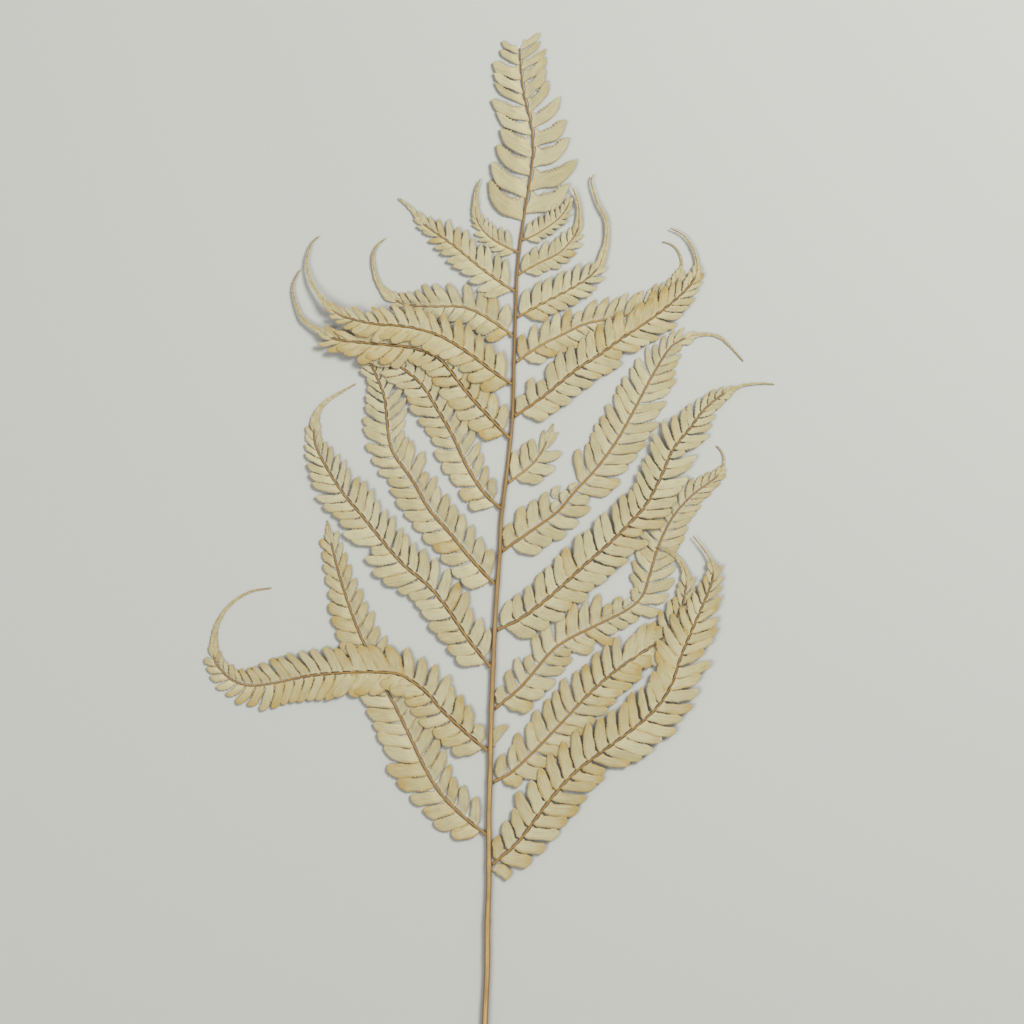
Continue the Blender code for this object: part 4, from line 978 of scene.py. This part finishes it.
def fern_lamina():
    """Air-dried fern leaf: matte, papery and bleached, cream in the middle and golden at margin and tip."""
    material, tree, shader = new_material("air_dried_fern_lamina")
    shader.inputs["IOR"].default_value = 1.45
    shader.inputs["Specular IOR Level"].default_value = 0.3
    place = put(tree, "Attribute", {}, attribute_name="place")
    share = put(tree, "Attribute", {}, attribute_name="share")
    spot = put(tree, "SeparateXYZ", {0: place["Vector"]})
    part = put(tree, "SeparateXYZ", {0: share["Vector"]})
    ground = put(tree, "TexCoord", {})

    # Streaks run lengthwise, about 0.7 mm apart, which is as fine as the picture can show.
    stretched = put(tree, "VectorMath", {0: place["Vector"], 1: (0.16, 1.4, 40.0)}, operation="MULTIPLY")
    streaks = put(tree, "TexNoise", {"Vector": stretched[0], "Scale": 1.0, "Detail": 3.0})
    # Mottling about 9 mm across, from the pressing.
    mottle = put(tree, "TexNoise", {"Vector": ground["Object"], "Scale": 110.0, "Detail": 4.0})
    # Side veins leave the middle of the leaflet every 1.3 mm and slope towards its tip.
    outward = put(tree, "Math", {0: spot["Y"]}, operation="ABSOLUTE")
    slope = put(tree, "Math", {0: outward[0], 1: -1.3, 2: spot["X"]}, operation="MULTIPLY_ADD")
    turns = put(tree, "Math", {0: slope[0], 1: math.tau / 1.3}, operation="MULTIPLY")
    veins = put(tree, "Math", {0: turns[0]}, operation="SINE")

    side = put(tree, "Math", {0: part["Y"]}, operation="ABSOLUTE")
    margin = put(tree, "MapRange", {"Value": side[0], "From Min": 0.6, "From Max": 1.05, "To Max": 1.6},
                 interpolation_type="SMOOTHSTEP")
    tip = put(tree, "MapRange", {"Value": part["X"], "From Min": 0.5, "From Max": 1.05, "To Max": 1.7},
              interpolation_type="SMOOTHSTEP")
    rim = put(tree, "Math", {0: margin[0], 1: tip[0]}, operation="MAXIMUM")
    turning = put(tree, "Math", {0: rim[0], 1: part["Z"], 2: part["Z"]}, operation="MULTIPLY_ADD")
    patchy = put(tree, "Math", {0: mottle["Fac"], 1: turning[0]}, operation="MULTIPLY")
    golden = put(tree, "MapRange", {"Value": patchy[0], "From Min": 0.2, "From Max": 1.05})

    cream = put(tree, "Mix", {0: spot["Z"], 6: linear("C8C3A9"), 7: linear("BEB694")}, data_type="RGBA")
    # The base of a leaflet, next to the midrib, is bleached palest.
    inner = put(tree, "MapRange", {"Value": part["X"], "From Min": 0.5, "From Max": 0.0, "To Max": 0.35},
                interpolation_type="SMOOTHSTEP")
    pale = put(tree, "Mix", {0: inner[0], 6: cream[2], 7: linear("D4CFB8")}, data_type="RGBA")
    gilt = put(tree, "Mix", {0: golden[0], 6: pale[2], 7: linear("BEA870")}, data_type="RGBA")
    dark = put(tree, "MapRange", {"Value": streaks["Fac"], "From Min": 0.52, "From Max": 0.78, "To Max": 0.4})
    streaked = put(tree, "Mix", {0: dark[0], 6: gilt[2], 7: linear("A08E5F")}, data_type="RGBA")
    light = put(tree, "MapRange", {"Value": streaks["Fac"], "From Min": 0.45, "From Max": 0.2, "To Max": 0.6})
    bleached = put(tree, "Mix", {0: light[0], 6: streaked[2], 7: linear("D2CCB5")}, data_type="RGBA")
    # A brown line runs round the very margin.
    hem = put(tree, "MapRange", {"Value": side[0], "From Min": 0.84, "From Max": 1.0, "To Max": 0.55})
    colour = put(tree, "Mix", {0: hem[0], 6: bleached[2], 7: linear("A88A50")}, data_type="RGBA")
    tree.links.new(colour[2], shader.inputs["Base Color"])

    gloss = put(tree, "MapRange", {"Value": mottle["Fac"], "To Min": 0.62, "To Max": 0.82})
    tree.links.new(gloss[0], shader.inputs["Roughness"])
    # Grain of the dried skin, about 0.3 mm.
    grain = put(tree, "TexNoise", {"Vector": ground["Object"], "Scale": 3300.0, "Detail": 2.0})
    ridges = put(tree, "Math", {0: veins[0], 1: 0.25, 2: streaks["Fac"]}, operation="MULTIPLY_ADD")
    height = put(tree, "Math", {0: grain["Fac"], 1: 0.5, 2: ridges[0]}, operation="MULTIPLY_ADD")
    bump = put(tree, "Bump", {"Height": height[0], "Strength": 0.5, "Distance": 0.15 * MM})
    tree.links.new(bump[0], shader.inputs["Normal"])
    return material


def fern_axis(name, middle, side, dark, fibre, tan):
    """Dried fern rachis: smooth, faintly waxy and woody, with fine fibres and paler at its base. Its sides
    are darker than its top, partly its own brown side lines and partly painted shade of its round sides.
    """
    material, tree, shader = new_material(name)
    shader.inputs["IOR"].default_value = 1.5
    place = put(tree, "Attribute", {}, attribute_name="place")
    share = put(tree, "Attribute", {}, attribute_name="share")
    part = put(tree, "SeparateXYZ", {0: share["Vector"]})
    # Fibres as far apart as the fibre value says, in millimetres, and thirty times as long.
    along = put(tree, "VectorMath", {0: place["Vector"], 1: (1 / (30 * fibre), 1 / fibre, 1 / fibre)},
                operation="MULTIPLY")
    fibres = put(tree, "TexNoise", {"Vector": along[0], "Scale": 1.0, "Detail": 3.0})
    ground = put(tree, "TexCoord", {})
    # Stains about 20 mm long.
    stain = put(tree, "TexNoise", {"Vector": ground["Object"], "Scale": 50.0, "Detail": 3.0})
    # The sides are darker than the top and the underside. This is partly the rachis's own brown side lines
    # and partly painted shade where the round sides turn from the light. The side colour also serves for the
    # stains and for the darkening towards the tip.
    off = put(tree, "Math", {0: part["X"]}, operation="ABSOLUTE")
    side_lines_and_shade = put(tree, "MapRange", {"Value": off[0], "From Min": 0.35, "From Max": 0.95},
               interpolation_type="SMOOTHSTEP")
    body = put(tree, "Mix", {0: side_lines_and_shade[0], 6: linear(middle), 7: linear(side)}, data_type="RGBA")
    stained = put(tree, "MapRange",
                  {"Value": stain["Fac"], "From Min": 0.45, "From Max": 0.75, "To Max": 0.5})
    worn = put(tree, "Mix", {0: stained[0], 6: body[2], 7: linear(side)}, data_type="RGBA")
    ageing = put(tree, "MapRange", {"Value": part["Z"], "From Min": 0.15, "From Max": 0.75, "To Max": tan})
    aged = put(tree, "Mix", {0: ageing[0], 6: worn[2], 7: linear(side)}, data_type="RGBA")
    streak = put(tree, "MapRange", {"Value": fibres["Fac"], "From Min": 0.5, "From Max": 0.75, "To Max": 0.6})
    colour = put(tree, "Mix", {0: streak[0], 6: aged[2], 7: linear(dark)}, data_type="RGBA")
    tree.links.new(colour[2], shader.inputs["Base Color"])
    gloss = put(tree, "MapRange", {"Value": fibres["Fac"], "To Min": 0.42, "To Max": 0.65})
    tree.links.new(gloss[0], shader.inputs["Roughness"])
    bump = put(tree, "Bump", {"Height": fibres["Fac"], "Strength": 0.6, "Distance": 0.12 * MM})
    tree.links.new(bump[0], shader.inputs["Normal"])
    return material


def floor_material():
    """Pale matt board, so that only the frond catches the eye."""
    material, tree, shader = new_material("pale_matt_board")
    ground = put(tree, "TexCoord", {})
    # Tooth of the board, about 0.8 mm.
    tooth = put(tree, "TexNoise", {"Vector": ground["Object"], "Scale": 1200.0, "Detail": 2.0})
    shade = put(tree, "Mix", {0: tooth["Fac"], 6: linear("C6C8C5"), 7: linear("CCCECB")}, data_type="RGBA")
    tree.links.new(shade[2], shader.inputs["Base Color"])
    shader.inputs["Roughness"].default_value = 0.9
    bump = put(tree, "Bump", {"Height": tooth["Fac"], "Strength": 0.3, "Distance": 0.1 * MM})
    tree.links.new(bump[0], shader.inputs["Normal"])
    return material


# View, light and floor
def hang_camera():
    """The camera looks straight down, with the frond's tip at the top of the picture."""
    data = bpy.data.cameras.new("camera")
    data.sensor_width = SENSOR_WIDE
    data.lens = SENSOR_WIDE * CAMERA_HIGH / PICTURE_WIDE
    camera = bpy.data.objects.new("camera", data)
    plan = [(p - m) * MM for p, m in zip(PICTURE_MIDDLE, MIDDLE)]
    camera.location = (*plan, CAMERA_HIGH * MM)
    bpy.context.scene.collection.objects.link(camera)
    bpy.context.scene.camera = camera


def lay_floor():
    mesh = bpy.data.meshes.new("floor")
    half = FLOOR_WIDE / 2
    corners = [(-half, -half, 0), (half, -half, 0), (half, half, 0), (-half, half, 0)]
    mesh.from_pydata(corners, [], [(0, 1, 2, 3)])
    mesh.materials.append(floor_material())
    floor = bpy.data.objects.new("floor", mesh)
    bpy.context.scene.collection.objects.link(floor)


def hang_light(name, place, size, power):
    """A square soft box that faces the frond's middle, with its place and size in metres."""
    data = bpy.data.lights.new(name, "AREA")
    data.size = size
    data.energy = power
    light = bpy.data.objects.new(name, data)
    light.location = place
    light.rotation_mode = "QUATERNION"
    light.rotation_quaternion = Vector(place).to_track_quat("Z", "Y")
    bpy.context.scene.collection.objects.link(light)


def light_room():
    hang_light("key_light", (1.7, 1.4, 2.0), 1.1, 63.0)
    hang_light("fill_light", (-1.6, -0.8, 2.2), 1.6, 24.0)
    world = bpy.data.worlds.new("studio")
    world.use_nodes = True
    background = world.node_tree.nodes["Background"]
    background.inputs["Color"].default_value = linear("FFFAF2")
    background.inputs["Strength"].default_value = 0.32
    bpy.context.scene.world = world
    bpy.context.scene.view_settings.view_transform = "Standard"


def main():
    hang_camera()
    materials = {
        "lamina": fern_lamina(),
        # The second colour of each rachis is for its darker sides, partly its own brown side lines and partly
        # painted shade. It is also the colour of its stains and of its darkening along its length.
        "midrib": fern_axis("dried_fern_midrib", "B4924F", "936A2C", "755020", 0.35, 0.0),
        "young_midrib": fern_axis("dried_young_fern_midrib", "BEA264", "A28044", "88652F", 0.3, 0.2),
        "stalk": fern_axis("dried_fern_stalk", "CDB07A", "8F6C3B", "75552C", 0.45, 0.75),
    }
    stem = Route(STEM_ROUTE)
    for pinna in PINNAE:
        grow_pinna(pinna, stem, materials)
    roots = [stem.nearest(np.array(pinna.route[0]))[0] for pinna in PINNAE]
    grow_stalk(stem, roots, materials)
    grow_apex(stem, materials)
    lay_floor()
    light_room()


main()
